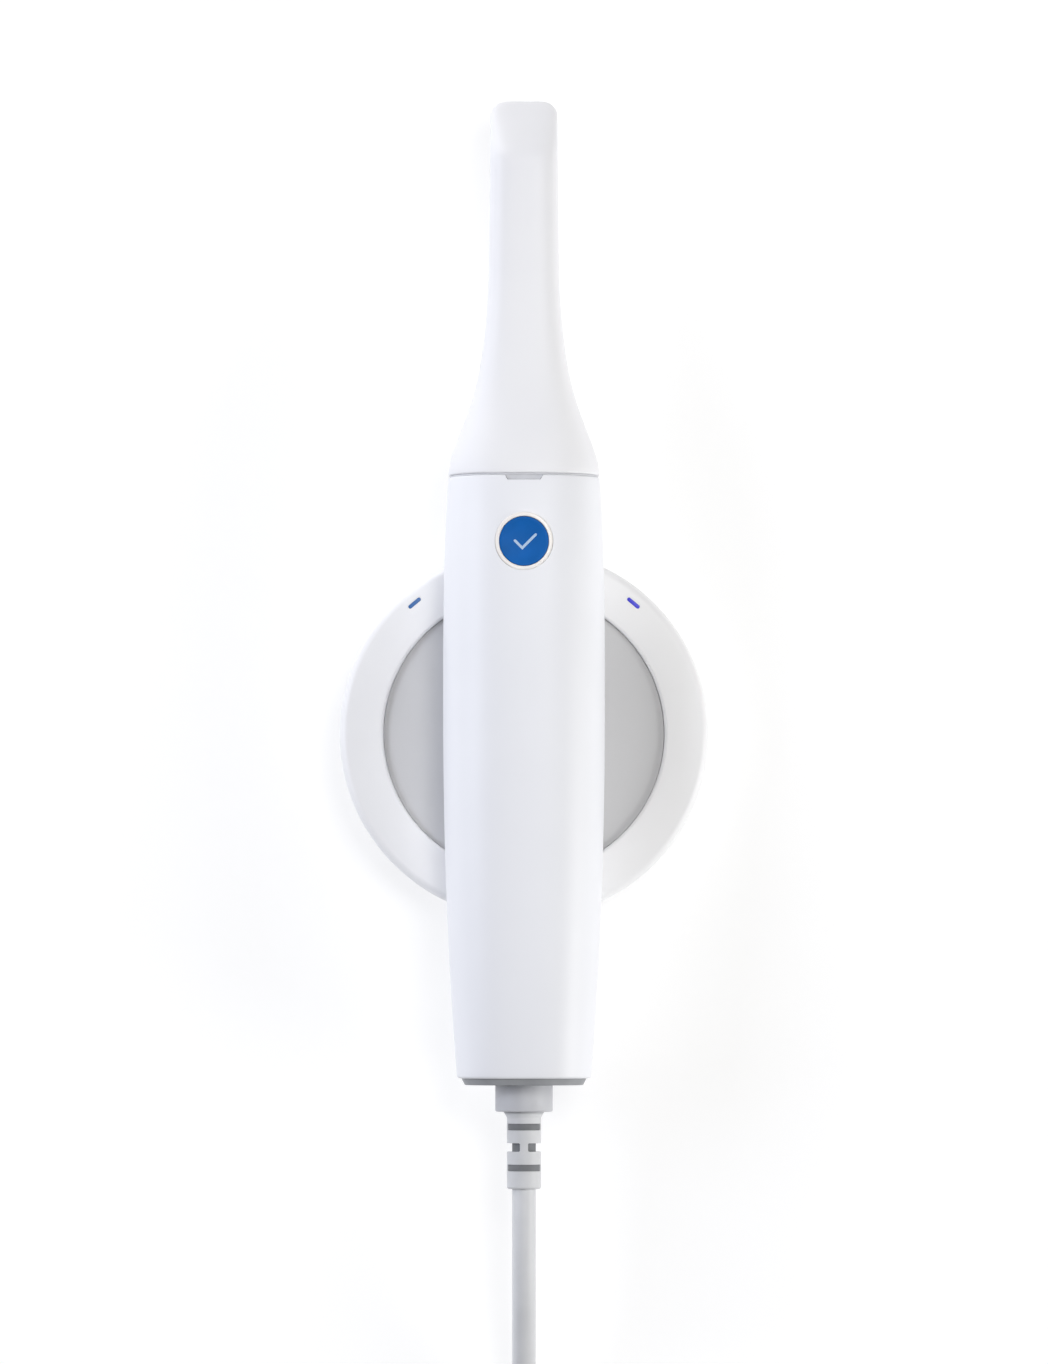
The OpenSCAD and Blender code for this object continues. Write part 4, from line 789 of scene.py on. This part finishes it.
tickRings = []
for centre, heading, halfWidth, stretch in strokeSections(b["tick"], b["tickWidth"] / 2):
    across = Vector((-heading.y, heading.x)) * halfWidth * stretch
    ring = []
    shoulder, foot = b["tickShoulder"], b["tickRise"] * b["tickFoot"]
    for share, rise in ((-1, -b["tickDepth"]), (1, -b["tickDepth"]), (1, foot), (shoulder, b["tickRise"]),
                        (-shoulder, b["tickRise"]), (-1, foot)):
        spot = centre + across * share
        ring.append(Vector((spot.x, spot.y + b["y"], dishHeight(spot.length) + rise)))
    tickRings.append(ring)
tickPoints, tickFaces = skinRings(tickRings)
addPiece("buttonTick", followCrown(tickPoints, capBackZ), tickFaces, "tick_blue", "button", ["button_tick"])

innerBezel, outerBezel = b["radius"] + b["gap"], bezelHigh.x - b["flange"]
bezelTopZ, flangeTopZ = b["top"] + b["bezelTop"], bezelLow.z + b["flangeThick"]
stemHole, bezelFloorZ = b["stemRadius"] + b["stemGap"], bezelLow.z + b["bezelFloor"]
bezelProfile = roundProfile([
    (innerBezel, bezelTopZ, b["bezelEdge"]), (outerBezel, bezelTopZ, b["bezelEdge"]),
    (outerBezel, flangeTopZ, 0), (bezelHigh.x, flangeTopZ, b["flangeEdge"]),
    (bezelHigh.x, bezelLow.z, b["flangeEdge"]), (stemHole, bezelLow.z, 0), (stemHole, bezelFloorZ, 0),
    (innerBezel, bezelFloorZ, 0)])
bezelPoints, bezelFaces = turnProfile(bezelProfile, (0, b["y"], 0), segments=128)
addPiece("buttonBezel", followCrown(bezelPoints, b["top"] - b["crownDepth"]), bezelFaces, "bezel_white",
         "handpiece", ["button_bezel"])
print("button made")

# Slide-off tip: wide and oval at the seam, slim and nearly square along the wand, slanted at its end
tipLow, tipHigh = boxMm("tip_shell")
tip = {
    "seamY": tipLow.y, "endY": tipHigh.y, "neck": 56.0, "wandWidth": 19.0, "wandDepth": 16.0, "wandLift": 1.0,
    "wandTaper": 0.5, "bevel": 14.5, "bevelBlend": 2.6, "endHeight": 2.5, "endRound": 4.2, "endEdge": 0.6,
    "wall": 1.6, "bevelWall": 1.414,  # walls up the slanted face, measured straight up
    "seamFillet": 0.5, "wandPower": 3.4, "seamPower": 2.6, "segments": 112, "neckOver": 4, "endShare": 0.994,
    "endEase": 0.9, "windowLength": 12.5, "windowWidth": 12.0, "windowBack": 1.4, "windowCorner": 1.6,
    "windowCutLow": 14, "windowCutOver": 0.5, "seamSlope": -0.2,
    "widening": [(0, 1), (0.06, 0.965), (0.15, 0.82), (0.25, 0.625), (0.35, 0.44), (0.45, 0.3), (0.56, 0.19),
                 (0.68, 0.105), (0.8, 0.05), (0.9, 0.016), (1, 0)],
}
wandZ = (seamTop + seamBack) / 2 + tip["wandLift"]


def tipWidening(y):
    table = tip["widening"]
    share = max(0.0, (y - tip["seamY"]) / tip["neck"])
    if share >= 1:
        return 0.0
    i = max(k for k in range(len(table) - 1) if table[k][0] <= share)

    def slope(k):
        if k == 0:
            return tip["seamSlope"]
        if k == len(table) - 1:
            return 0.0
        return (table[k + 1][1] - table[k - 1][1]) / (table[k + 1][0] - table[k - 1][0])
    h = table[i + 1][0] - table[i][0]
    s = (share - table[i][0]) / h
    return ((2 * s ** 3 - 3 * s * s + 1) * table[i][1] + (s ** 3 - 2 * s * s + s) * h * slope(i)
            + (3 * s * s - 2 * s ** 3) * table[i + 1][1] + (s ** 3 - s * s) * h * slope(i + 1))


def tipRing(y, wall, inset, stop):
    w = tipWidening(y)
    past = max(0.0, y - tip["seamY"] - tip["neck"])
    taper = tip["wandTaper"] * past / (tip["endY"] - tip["seamY"] - tip["neck"])
    roundShare = min(1.0, max(0.0, (y - (stop - tip["endRound"])) / tip["endRound"]))
    sideInset = tip["endRound"] * (1 - math.sqrt(1 - (roundShare * tip["endShare"]) ** 2))
    half = tip["wandWidth"] / 2 - taper + w * (seamHalf - tip["wandWidth"] / 2) - wall - inset - sideInset
    wandBack = wandZ - tip["wandDepth"] / 2
    level = (wandZ + tip["wandDepth"] / 2) * (1 - w) + seamTop * w - wall
    slant = wandBack + tip["endHeight"]
    slant += (tip["endY"] - y) * (tip["wandDepth"] - tip["endHeight"]) / tip["bevel"]
    slant -= wall * tip["bevelWall"]
    blend = tip["bevelBlend"]
    share = min(1.0, max(0.0, 0.5 + 0.5 * (slant - level) / blend))
    top = slant * (1 - share) + level * share - blend * share * (1 - share)
    back = wandBack * (1 - w) + seamBack * w + wall
    power = tip["wandPower"] - (tip["wandPower"] - tip["seamPower"]) * w
    ring = []
    for k in range(tip["segments"]):
        x, z = oval(half, top - inset, back + inset, power, 2 * math.pi * (k + 0.5) / tip["segments"])
        ring.append(Vector((x, y, z)) * mm)
    return ring


def tipStations(y0, y1, rounding):
    start = y0 + rounding
    neckEnd = tip["seamY"] + tip["neck"] + tip["neckOver"]
    bevelStart = tip["endY"] - tip["bevel"] - tip["bevelBlend"]
    rows = [start + (neckEnd - start) * k / 40 for k in range(41)]
    rows += [neckEnd + (bevelStart - neckEnd) * k / 12 for k in range(1, 13)]
    roundStart = y1 - tip["endRound"]
    rows += [bevelStart + (roundStart - bevelStart) * k / 16 for k in range(1, 17)]
    rows += [roundStart + tip["endRound"] * math.sin(a) for a in quarterTurn(12)[1:]]
    return [y for y in rows if y <= y1 + 0.001]


def tipRings():
    t = tip
    fillet = t["seamFillet"]
    outer = [tipRing(t["seamY"] + fillet * (1 - math.sin(a)), 0, fillet * (1 - math.cos(a)), t["endY"])
             for a in reversed(quarterTurn(4))]
    for y in tipStations(t["seamY"], t["endY"], fillet)[1:]:
        over = max(0.0, (y - (t["endY"] - t["endEdge"])) / t["endEdge"])
        inset = t["endEdge"] * (1 - math.sqrt(max(0.0, 1 - min(1.0, over) ** 2))) * t["endEase"]
        outer.append(tipRing(y, 0, inset, t["endY"]))
    innerEnd = t["endY"] - t["wall"]
    innerRows = [t["seamY"]] + tipStations(t["seamY"], innerEnd, fillet)
    return [tipRing(y, t["wall"], 0, innerEnd) for y in reversed(innerRows)] + outer


tipShell = addPiece("tipShell", *skinRings(tipRings()), "tip_white", "tip", ["tip_shell"])
uncut = tipShell.data.copy()
windowY = tip["endY"] - tip["wall"] - tip["windowBack"] - tip["windowLength"] / 2
windowOutline = roundedRect(0, windowY, tip["windowWidth"], tip["windowLength"], tip["windowCorner"])
windowCutHigh = wandZ - tip["wandDepth"] / 2 + tip["wall"] + tip["windowCutOver"]
cutWith(tipShell, *inMetres(prism(windowOutline, tip["windowCutLow"], windowCutHigh)))
keepSmooth(tipShell, uncut)
print("tip made")

# Round desk cradle: a pale ring with a recessed grey pad, both hollowed for the handle's back
ringLow, ringHigh = boxMm("cradle_ring")
padLow, padHigh = boxMm("cradle_pad")
baseTopZ = boxMm("cradle_base")[1].z
soleLow, soleHigh = boxMm("cradle_sole")
cradle = {
    "outerEdge": 2.3, "innerEdge": 1.0, "padEdge": 1.5, "padDrop": 0.55, "padRound": 4.0, "wall": 2.4,
    "recess": 0.06, "troughGap": 0.35, "troughOver": 4, "troughSteps": 32, "lip": 0.5, "segments": 192,
    "markRadius": 46.1, "markAngle": 40, "markLength": 4.1, "markWidth": 1.0, "markDepth": 0.8,
    "markGap": 0.05, "markEdge": 0.12, "grooves": 7, "firstGroove": 5, "groovePitch": 4.4,
    "grooveDepth": 0.35, "grooveWidth": 1.1, "grooveSlope": 0.2, "grooveEdge": 0.1,
}
ringTop, ringRadius, padTop, padRadius = ringHigh.z, ringHigh.x, padHigh.z, padHigh.x
recessRadius = padRadius + cradle["recess"]


# The space of the handle's back, with a rounded lip where it meets the face at faceZ
def troughSpace(faceZ, lip):
    reach, steps = ringRadius + cradle["troughOver"], cradle["troughSteps"]
    power = handle["sectionPower"]
    rings = []
    for i in range(steps + 1):
        y = -reach + 2 * reach * i / steps
        half, top, back = handleSize(y)
        half, back, middle = half + cradle["troughGap"], back - cradle["troughGap"], (top + back) / 2
        tall = middle - back
        lipZ = faceZ - lip

        def sideAt(z):
            return half * (1 - min(1.0, (middle - z) / tall) ** power) ** (1 / power)
        lowest = math.asin(((middle - lipZ) / tall) ** (power / 2))
        left = []
        for k in range(31):
            a = math.pi / 2 - (math.pi / 2 - lowest) * k / 30
            x, z = oval(half, middle + tall, middle - tall, power, a)
            left.append((x, 2 * middle - z))
        for a in quarterTurn(6)[1:]:
            z = lipZ + lip * math.sin(a)
            left.append((sideAt(z) + lip * (1 - math.cos(a)), z))
        left.append((left[-1][0], faceZ + 5))
        section = [(-x, z) for x, z in reversed(left[1:])] + left
        rings.append([Vector((x, y, z)) * mm for x, z in section])
    return skinRings(rings)


def pillOutline(side, gap):
    c = cradle
    halfLength, halfWidth = (c["markLength"] - c["markWidth"]) / 2, c["markWidth"] / 2 + gap
    spin = Matrix.Rotation(math.radians(-side * c["markAngle"]), 2)
    outline = []
    for end in (1, -1):
        for k in range(13):
            a = -math.pi / 2 + math.pi * k / 12
            along, across = end * (halfLength + halfWidth * math.cos(a)), end * halfWidth * math.sin(a)
            outline.append(tuple(spin @ Vector((along, c["markRadius"] + across))))
    return outline


ringProfile = roundProfile([
    (ringRadius, ringLow.z, 0.4), (ringRadius, ringTop, cradle["outerEdge"]),
    (recessRadius, ringTop, cradle["innerEdge"]), (recessRadius, baseTopZ, 0),
    (ringRadius - cradle["wall"], baseTopZ, 0), (ringRadius - cradle["wall"], ringLow.z, 0.3)], 8)
ringTurned = turnProfile(ringProfile, (0, 0, 0), segments=cradle["segments"])
cradleRing = addPiece("cradleRing", *inMetres(ringTurned), "ring_white", "cradle", ["cradle_ring"])
uncut = cradleRing.data.copy()
cutWith(cradleRing, *troughSpace(ringTop, cradle["lip"]))
markFoot = ringTop - cradle["markDepth"]
for side in (-1, 1):
    cutWith(cradleRing, *inMetres(prism(pillOutline(side, cradle["markGap"]), markFoot, ringTop + 1)))
keepSmooth(cradleRing, uncut)
padProfile = roundProfile([
    (padRadius, padLow.z, 0), (padRadius, padTop - cradle["padDrop"], 0.2),
    (padRadius - cradle["padEdge"], padTop, cradle["padRound"]), (0, padTop, 0), (0, padLow.z, 0)], 8)
padTurned = turnProfile(padProfile, (0, 0, 0), segments=cradle["segments"])
cradlePad = addPiece("cradlePad", *inMetres(padTurned), "pad_grey", "cradle", ["cradle_pad"])
uncut = cradlePad.data.copy()
cutWith(cradlePad, *troughSpace(padTop, cradle["lip"]))
keepSmooth(cradlePad, uncut)

for side, name, slot, node in ((-1, "markLeft", "mark_left_blue", "mark_left"),
                               (1, "markRight", "mark_right_blue", "mark_right")):
    edge = cradle["markEdge"]
    rings = [[Vector((x, y, markFoot)) * mm for x, y in pillOutline(side, 0)]]
    for a in quarterTurn(4):
        outline, z = pillOutline(side, -edge * (1 - math.cos(a))), ringTop - edge + edge * math.sin(a)
        rings.append([Vector((x, y, z)) * mm for x, y in outline])
    addPiece(name, *skinRings(rings), slot, "cradle", [node])

# The sole has shallow rings that grip the table
soleProfile = [(0, soleLow.z, 0)]
grooveTop, edge, slope = soleLow.z + cradle["grooveDepth"], cradle["grooveEdge"], cradle["grooveSlope"]
for k in range(cradle["grooves"]):
    r = cradle["firstGroove"] + k * cradle["groovePitch"]
    end = r + cradle["grooveWidth"]
    soleProfile += [(r, soleLow.z, edge), (r + slope, grooveTop, edge), (end - slope, grooveTop, edge),
                    (end, soleLow.z, edge)]
soleProfile += [(soleHigh.x, soleLow.z, 0.3), (soleHigh.x, soleHigh.z, 0), (0, soleHigh.z, 0)]
soleTurned = turnProfile(roundProfile(soleProfile, 3), (0, 0, 0))
addPiece("cradleSole", *inMetres(soleTurned), "sole_rubber", "cradle", ["cradle_sole"])
print("cradle made")

# Cord entry: a round gland and a slotted strain relief
glandLow, glandHigh = boxMm("gland")
reliefLow, reliefHigh = boxMm("strain_relief")
entry = {
    "z": (glandLow.z + glandHigh.z) / 2, "glandEdge": 0.5, "glandRadius": glandHigh.x,
    "neckRadius": glandHigh.x - 2, "neckGap": 0.1,
    "bore": cordSettings["diameter"] / 2 + 0.05, "reliefEdge": 0.7, "reliefRadius": reliefHigh.x,
    "slotLength": 1.8, "notchLength": 2.3, "slotPitch": 5.5, "firstSlot": 4.1, "rib": 1.1, "slotReach": 8,
    "slotCorner": 0.4, "flare": 0.9, "flareLength": 1.6, "collarRadius": 4.4, "collarGap": 0.02,
}
e = entry
glandProfile = roundProfile([
    (e["bore"], glandLow.y, 0.2), (e["glandRadius"], glandLow.y, e["glandEdge"]),
    (e["glandRadius"], handle["heelY"], 0.2), (e["neckRadius"], handle["heelY"], 0),
    (e["neckRadius"], glandHigh.y, 0), (e["bore"], glandHigh.y, 0)])
entryCentre = (0, 0, e["z"])
glandTurned = turnProfile(glandProfile, entryCentre, "Y", 96)
addPiece("cordGland", *inMetres(glandTurned), "gland_grey", "handpiece", ["gland"])

# A cap closes the casing's heel and leans in a little towards its edge. Its darker grey is painted shade,
# standing for the end face that turns away from the light.
heelLow, heelHigh = boxMm("heel_cap")
boltHigh = boxMm("heel_screws")[1]
heelCap = {
    "plugInset": 2.45, "rimInset": 1.2, "lean": 0.6, "edge": 0.4, "gap": 0.05,
    "headRadius": 2.3, "headSpace": 2.4, "headDepth": 1.2, "shankSpace": 1.3,
}


def heelCapRings():
    c, heelY = heelCap, handle["heelY"]
    shellEnd = heelY + handle["capShow"] - c["gap"]
    rows = [(heelHigh.y, c["plugInset"]), (shellEnd, c["plugInset"]), (shellEnd, c["rimInset"])]
    for a in quarterTurn(4):
        inset = c["rimInset"] + c["lean"] + c["edge"] * (1 - math.cos(a))
        rows.append((heelY + c["edge"] * (1 - math.sin(a)), inset))
    count = handle["ovalSteps"]
    return [[handlePoint(y, inset, 2 * math.pi * k / count) * mm for k in range(count)] for y, inset in rows]


# The cap's bulkhead grey is painted shade on the heel's end face
casingHeel = addPiece("heelCap", *skinRings(heelCapRings()), "bulkhead_grey", "handpiece", ["heel_cap"])
outside, inside, headFloor = heelLow.y - 1, heelHigh.y + 1, heelLow.y + heelCap["headDepth"]
boreAlongY(casingHeel, entryCentre, [(e["neckRadius"] + e["neckGap"], outside, inside)])
for side in (-1, 1):
    boltCentre = (side * (boltHigh.x - heelCap["headRadius"]), 0, e["z"])
    boreAlongY(casingHeel, boltCentre, [(heelCap["headSpace"], outside, headFloor),
                                        (heelCap["shankSpace"], headFloor, inside)])
casingHeel.data.set_sharp_from_angle(angle=sharpTurn)

reliefProfile = roundProfile([
    (e["bore"], reliefLow.y, 0.15), (e["reliefRadius"], reliefLow.y, e["reliefEdge"]),
    (e["reliefRadius"], reliefHigh.y - e["flareLength"], 1.2),
    (e["reliefRadius"] + e["flare"], reliefHigh.y, 0), (e["bore"], reliefHigh.y, 0)])
reliefTurned = turnProfile(reliefProfile, entryCentre, "Y", 96)
strainRelief = addPiece("strainRelief", *inMetres(reliefTurned), "relief_grey", "handpiece",
                        ["strain_relief"])
uncut = strainRelief.data.copy()
# The first and last rows leave a rib at each side, and the middle row leaves one at the top and at the back
near, far = e["rib"], e["slotReach"]
for row in range(3):
    y = reliefHigh.y - e["firstSlot"] - row * e["slotPitch"]
    for side in (-1, 1):
        if row == 1:
            outline = roundedRect(side * (near + far) / 2, y, far - near, e["notchLength"], e["slotCorner"])
            slot = prism(outline, e["z"] - far, e["z"] + far)
        else:
            outline = roundedRect(0, y, 2 * far, e["slotLength"], e["slotCorner"])
            slot = prism(outline, *sorted((e["z"] + side * near, e["z"] + side * far)))
        cutWith(strainRelief, *inMetres(slot))
keepSmooth(strainRelief, uncut)

# The cord's inner jacket has a collar in the first and last rows, so those slots stay shallow. Its darker
# grey is painted shade inside the slots.
coreLow, coreHigh = boxMm("cord_inner")
coreRadius, collar = cordSettings["diameter"] / 2, e["slotLength"] / 2 - e["collarGap"]
coreProfile = [(0, coreLow.y, 0), (coreRadius, coreLow.y, 0)]
for row in (2, 0):
    y = reliefHigh.y - e["firstSlot"] - row * e["slotPitch"]
    coreProfile += [(coreRadius, y - collar, 0), (e["collarRadius"], y - collar, 0.1),
                    (e["collarRadius"], y + collar, 0.1), (coreRadius, y + collar, 0)]
coreProfile += [(coreRadius, coreHigh.y, 0.3), (0, coreHigh.y, 0)]
coreTurned = turnProfile(roundProfile(coreProfile, 3), entryCentre, "Y", 64)
addPiece("cableCore", *inMetres(coreTurned), "core_grey", "handpiece", ["cord_inner"])
print("cord entry made")

# Plug at the cord's far end
plugLow, plugHigh = boxMm("plug_body")
tubeLow, tubeHigh = boxMm("plug_relief")
jackLow, jackHigh = boxMm("plug_shell")
tongueLow, tongueHigh = boxMm("plug_tongue")
plug = {
    "corner": 2.3, "edge": 0.9, "grips": 6, "gripPitch": 2.4, "gripStart": 6.0, "gripDepth": 0.35,
    "stations": 90, "tubeWall": 0.75, "ribs": 3, "ribPitch": 3.0, "ribStart": 2.6, "ribLength": 1.3,
    "ribDepth": 0.65, "ribEdge": 0.2, "shellWall": 0.3, "shellCorner": 0.7, "shellEdge": 0.1,
    "holeWidth": 2.3, "holeLength": 2.3, "holeCorner": 0.2, "holeStart": 7, "holeSide": 2.9,
    "tongueCorner": 0.4, "contacts": 4, "contactPitch": 2.5, "contactWidth": 1.2, "contactLength": 6.4,
    "contactBack": 4.2, "contactCorner": 0.3, "contactShow": 0.12, "contactSink": 0.05,
}
p = plug


def plugBodyRings():
    centreY, centreZ = (plugLow.y + plugHigh.y) / 2, (plugLow.z + plugHigh.z) / 2
    width, height = plugHigh.y - plugLow.y, plugHigh.z - plugLow.z
    edge, steps = p["edge"], p["stations"]
    start, end = plugLow.x + edge, plugHigh.x - edge
    rows = [(plugLow.x + edge * (1 - math.cos(a)), edge * (1 - math.sin(a))) for a in quarterTurn(5)]
    rows += [(start + (end - start) * k / steps, 0) for k in range(1, steps)]
    rows += [(plugHigh.x - edge * (1 - math.sin(a)), edge * (1 - math.cos(a))) for a in quarterTurn(5)]
    rings = []
    for x, inset in rows:
        along = (x - plugLow.x - p["gripStart"]) / p["gripPitch"]
        pinch = p["gripDepth"] * max(0.0, math.sin(math.pi * 2 * along)) if 0 < along < p["grips"] else 0
        outline = roundedRect(centreY, centreZ, width - 2 * inset - 2 * pinch, height - 2 * inset,
                              p["corner"] - inset)
        rings.append([Vector((x, u, v)) * mm for u, v in outline])
    return rings


plugBody = addPiece("plugBody", *skinRings(plugBodyRings()), "plug_white", "handpiece", ["plug_body"])

tubeRadius = cordSettings["diameter"] / 2 + plug["tubeWall"]
ribFoot, ribEdge = tubeRadius - plug["ribDepth"], plug["ribEdge"]
tubeCorners = [(entry["bore"], tubeLow.x, 0.1), (tubeRadius, tubeLow.x, 0.4)]
for k in range(plug["ribs"]):
    x = tubeLow.x + plug["ribStart"] + k * plug["ribPitch"]
    end = x + plug["ribLength"]
    tubeCorners += [(tubeRadius, x, ribEdge), (ribFoot, x, ribEdge), (ribFoot, end, ribEdge),
                    (tubeRadius, end, ribEdge)]
tubeCorners += [(tubeRadius, tubeHigh.x, 0), (entry["bore"], tubeHigh.x, 0)]
tubeCentre = (0, (tubeLow.y + tubeHigh.y) / 2, (tubeLow.z + tubeHigh.z) / 2)
tubeTurned = turnProfile(roundProfile(tubeCorners, 4), tubeCentre, "X", 64)
plugRelief = addPiece("plugRelief", *inMetres(tubeTurned), "relief_grey", "handpiece", ["plug_relief"])


def jackRings():
    centreY, centreZ = (jackLow.y + jackHigh.y) / 2, (jackLow.z + jackHigh.z) / 2
    width, height = jackHigh.y - jackLow.y, jackHigh.z - jackLow.z
    wall, edge, mouth = p["shellWall"], p["shellEdge"], jackHigh.x
    rows = [(jackLow.x, 0), (mouth - edge * 1.5, 0), (mouth, edge), (mouth, wall - edge / 2),
            (mouth - edge, wall), (jackLow.x, wall)]
    return [[Vector((x, u, v)) * mm for u, v in
             roundedRect(centreY, centreZ, width - 2 * inset, height - 2 * inset, p["shellCorner"] - inset)]
            for x, inset in rows]


plugShell = addPiece("plugShell", *skinRings(jackRings(), joinEnds=True), "plug_steel", "handpiece",
                     ["plug_shell"])
for side in (-1, 1):
    holeX, holeY = jackLow.x + p["holeStart"], (jackLow.y + jackHigh.y) / 2 + side * p["holeSide"]
    outline = roundedRect(holeX, holeY, p["holeLength"], p["holeWidth"], p["holeCorner"])
    cutWith(plugShell, *inMetres(prism(outline, jackLow.z - 1, jackHigh.z + 1)))
plugShell.data.set_sharp_from_angle(angle=sharpTurn)

tongueOutline = roundedRect((tongueLow.x + tongueHigh.x) / 2, (tongueLow.y + tongueHigh.y) / 2,
                            tongueHigh.x - tongueLow.x, tongueHigh.y - tongueLow.y, p["tongueCorner"])
tongue = prism(tongueOutline, tongueLow.z, tongueHigh.z)
plugTongue = addPiece("plugTongue", *inMetres(tongue), "tongue_black", "handpiece", ["plug_tongue"])
for k in range(plug["contacts"]):
    y = (tongueLow.y + tongueHigh.y) / 2 + (k - (plug["contacts"] - 1) / 2) * plug["contactPitch"]
    outline = roundedRect(tongueHigh.x - plug["contactBack"], y, plug["contactLength"], plug["contactWidth"],
                          plug["contactCorner"])
    strip = prism(outline, tongueLow.z - plug["contactShow"], tongueLow.z + plug["contactSink"])
    addPiece("plugContact" + str(k + 1), *inMetres(strip), "standoff_brass", "handpiece")
print("plug made")

# A strap ties the coil: it goes round all the turns and its end lies over itself
strap = {
    "width": 12.0, "thick": 0.75, "gap": 0.05, "edgeDrop": 0.2, "edgeWidth": 0.3, "tabThick": 0.6,
    "tabSink": 0.1, "tabLength": 15, "tabSetBack": 0.8, "tabCorner": 2.4, "tabShift": 3,
    "tabEnd": (0.97, 0.96),
}
coilLow, coilHigh = boxMm("cord_coil")
coilInner = coilHigh.x - cordSettings["coilX"] - cordSettings["columns"] * cordSettings["diameter"]


def strapBand(outlines):
    rings = []
    for outline in outlines:
        ring = []
        for r, z, y in outline:
            x = cordSettings["coilX"] + math.sqrt(r * r - y * y)
            ring.append(Vector((x, cordSettings["coilY"] + y, z)) * mm)
        rings.append(ring)
    return skinRings(rings, joinEnds=True)


def strapLoop(grow, y):
    outerRadius, corner = coilHigh.x - cordSettings["coilX"], cordSettings["diameter"] / 2 + grow
    width, height = outerRadius - coilInner + 2 * grow, coilHigh.z - coilLow.z + 2 * grow
    middleR, middleZ = (outerRadius + coilInner) / 2, (coilHigh.z + coilLow.z) / 2
    return [(r, z, y) for r, z in roundedRect(middleR, middleZ, width, height, corner, 10)]


inner, outer, edgeY = strap["gap"], strap["gap"] + strap["thick"], strap["width"] / 2
softEdge, flatY = outer - strap["edgeDrop"], edgeY - strap["edgeWidth"]
cordTie = addPiece("cordTie", *strapBand([strapLoop(grow, y) for grow, y in (
    (inner, -edgeY), (softEdge, -edgeY), (outer, -flatY), (outer, 0), (outer, flatY), (softEdge, edgeY),
    (inner, edgeY), (inner, 0))]), "tie_fabric", "handpiece", ["cord_tie"])
coilY, topZ = cordSettings["coilY"], coilHigh.z + outer
endX = cordSettings["coilX"] + (coilHigh.x - cordSettings["coilX"] + coilInner) / 2 + strap["tabShift"]
tabWidth = strap["width"] - strap["tabSetBack"]
tabOutline = roundedRect(endX, coilY, strap["tabLength"], tabWidth, strap["tabCorner"])
tabTopZ, (shareX, shareY) = topZ + strap["tabThick"], strap["tabEnd"]
tabRings = [[Vector((x, y, z)) * mm for x, y in tabOutline]
            for z in (topZ - strap["tabSink"], tabTopZ - strap["edgeDrop"])]
tabRings.append([Vector((endX + (x - endX) * shareX, coilY + (y - coilY) * shareY, tabTopZ)) * mm
                 for x, y in tabOutline])
tieTab = addPiece("tieTab", *skinRings(tabRings), "tie_fabric", "handpiece")
print("tie made")

# Pale floor, soft lights and the camera
studio = {
    "target": (0, 0.0136, 0.030), "tilt": 2.0, "distance": 2.4, "frameHeight": 0.368,
    "world": 0.2, "aim": (0, 0, 0.03), "floorHalf": 4, "floorColour": "bcbcbc",
    "floorGlow": 1.1,  # the floor glows, so it stays near white under soft lights
    "panels": [
        # name, place, size, watts, colour
        ("topPanel", (-0.15, 0.05, 1.5), 1.3, 1.3, "fffefc"),
        ("keyPanel", (0.30, 0.25, 1.35), 0.42, 5.2, "fffdfa"),
        ("leftPanel", (-0.98, 0.12, 0.66), 0.6, 5.9, "eaefff"),
        ("rightPanel", (1.05, -0.30, 0.45), 0.6, 7.2, "ffffff"),
        ("tipPanel", (-0.7, 1.2, 0.42), 0.6, 6.5, "ffffff"),
    ],
}
floorMesh = bpy.data.meshes.new("floor")
f = studio["floorHalf"]
floorMesh.from_pydata([(-f, -f, 0), (f, -f, 0), (f, f, 0), (-f, f, 0)], [], [(0, 1, 2, 3)])
floor = bpy.data.objects.new("floor", floorMesh)
bpy.context.collection.objects.link(floor)
floorMesh.materials.append(mouldedPlastic("floor painted pale", {
    "colour": studio["floorColour"], "shade": studio["floorColour"], "driftMm": 200, "grainMm": 2,
    "rough": 0.9, "roughSpread": 0.02, "bump": 0.0, "glow": studio["floorGlow"]}))

world = bpy.data.worlds.new("studio")
world.use_nodes = True
world.node_tree.nodes["Background"].inputs["Color"].default_value = (1, 1, 1, 1)
world.node_tree.nodes["Background"].inputs["Strength"].default_value = studio["world"]
bpy.context.scene.world = world
for name, place, size, watts, colour in studio["panels"]:
    panel = bpy.data.lights.new(name, "AREA")
    panel.shape = "SQUARE"
    panel.size = size
    panel.energy = watts
    panel.color = srgbHex(colour)[:3]
    holder = bpy.data.objects.new(name, panel)
    holder.location = place
    holder.rotation_euler = (Vector(studio["aim"]) - Vector(place)).to_track_quat("-Z", "Y").to_euler()
    bpy.context.collection.objects.link(holder)

cameraData = bpy.data.cameras.new("camera")
tilt = math.radians(studio["tilt"])
camera = bpy.data.objects.new("camera", cameraData)
camera.location = Vector(studio["target"]) + studio["distance"] * Vector((0, -math.sin(tilt), math.cos(tilt)))
camera.rotation_euler = (tilt, 0, 0)
cameraData.lens = cameraData.sensor_width * studio["distance"] / studio["frameHeight"]
cameraData.clip_end = 10
bpy.context.collection.objects.link(camera)
bpy.context.scene.camera = camera
bpy.context.scene.view_settings.view_transform = "Standard"
print("studio made")
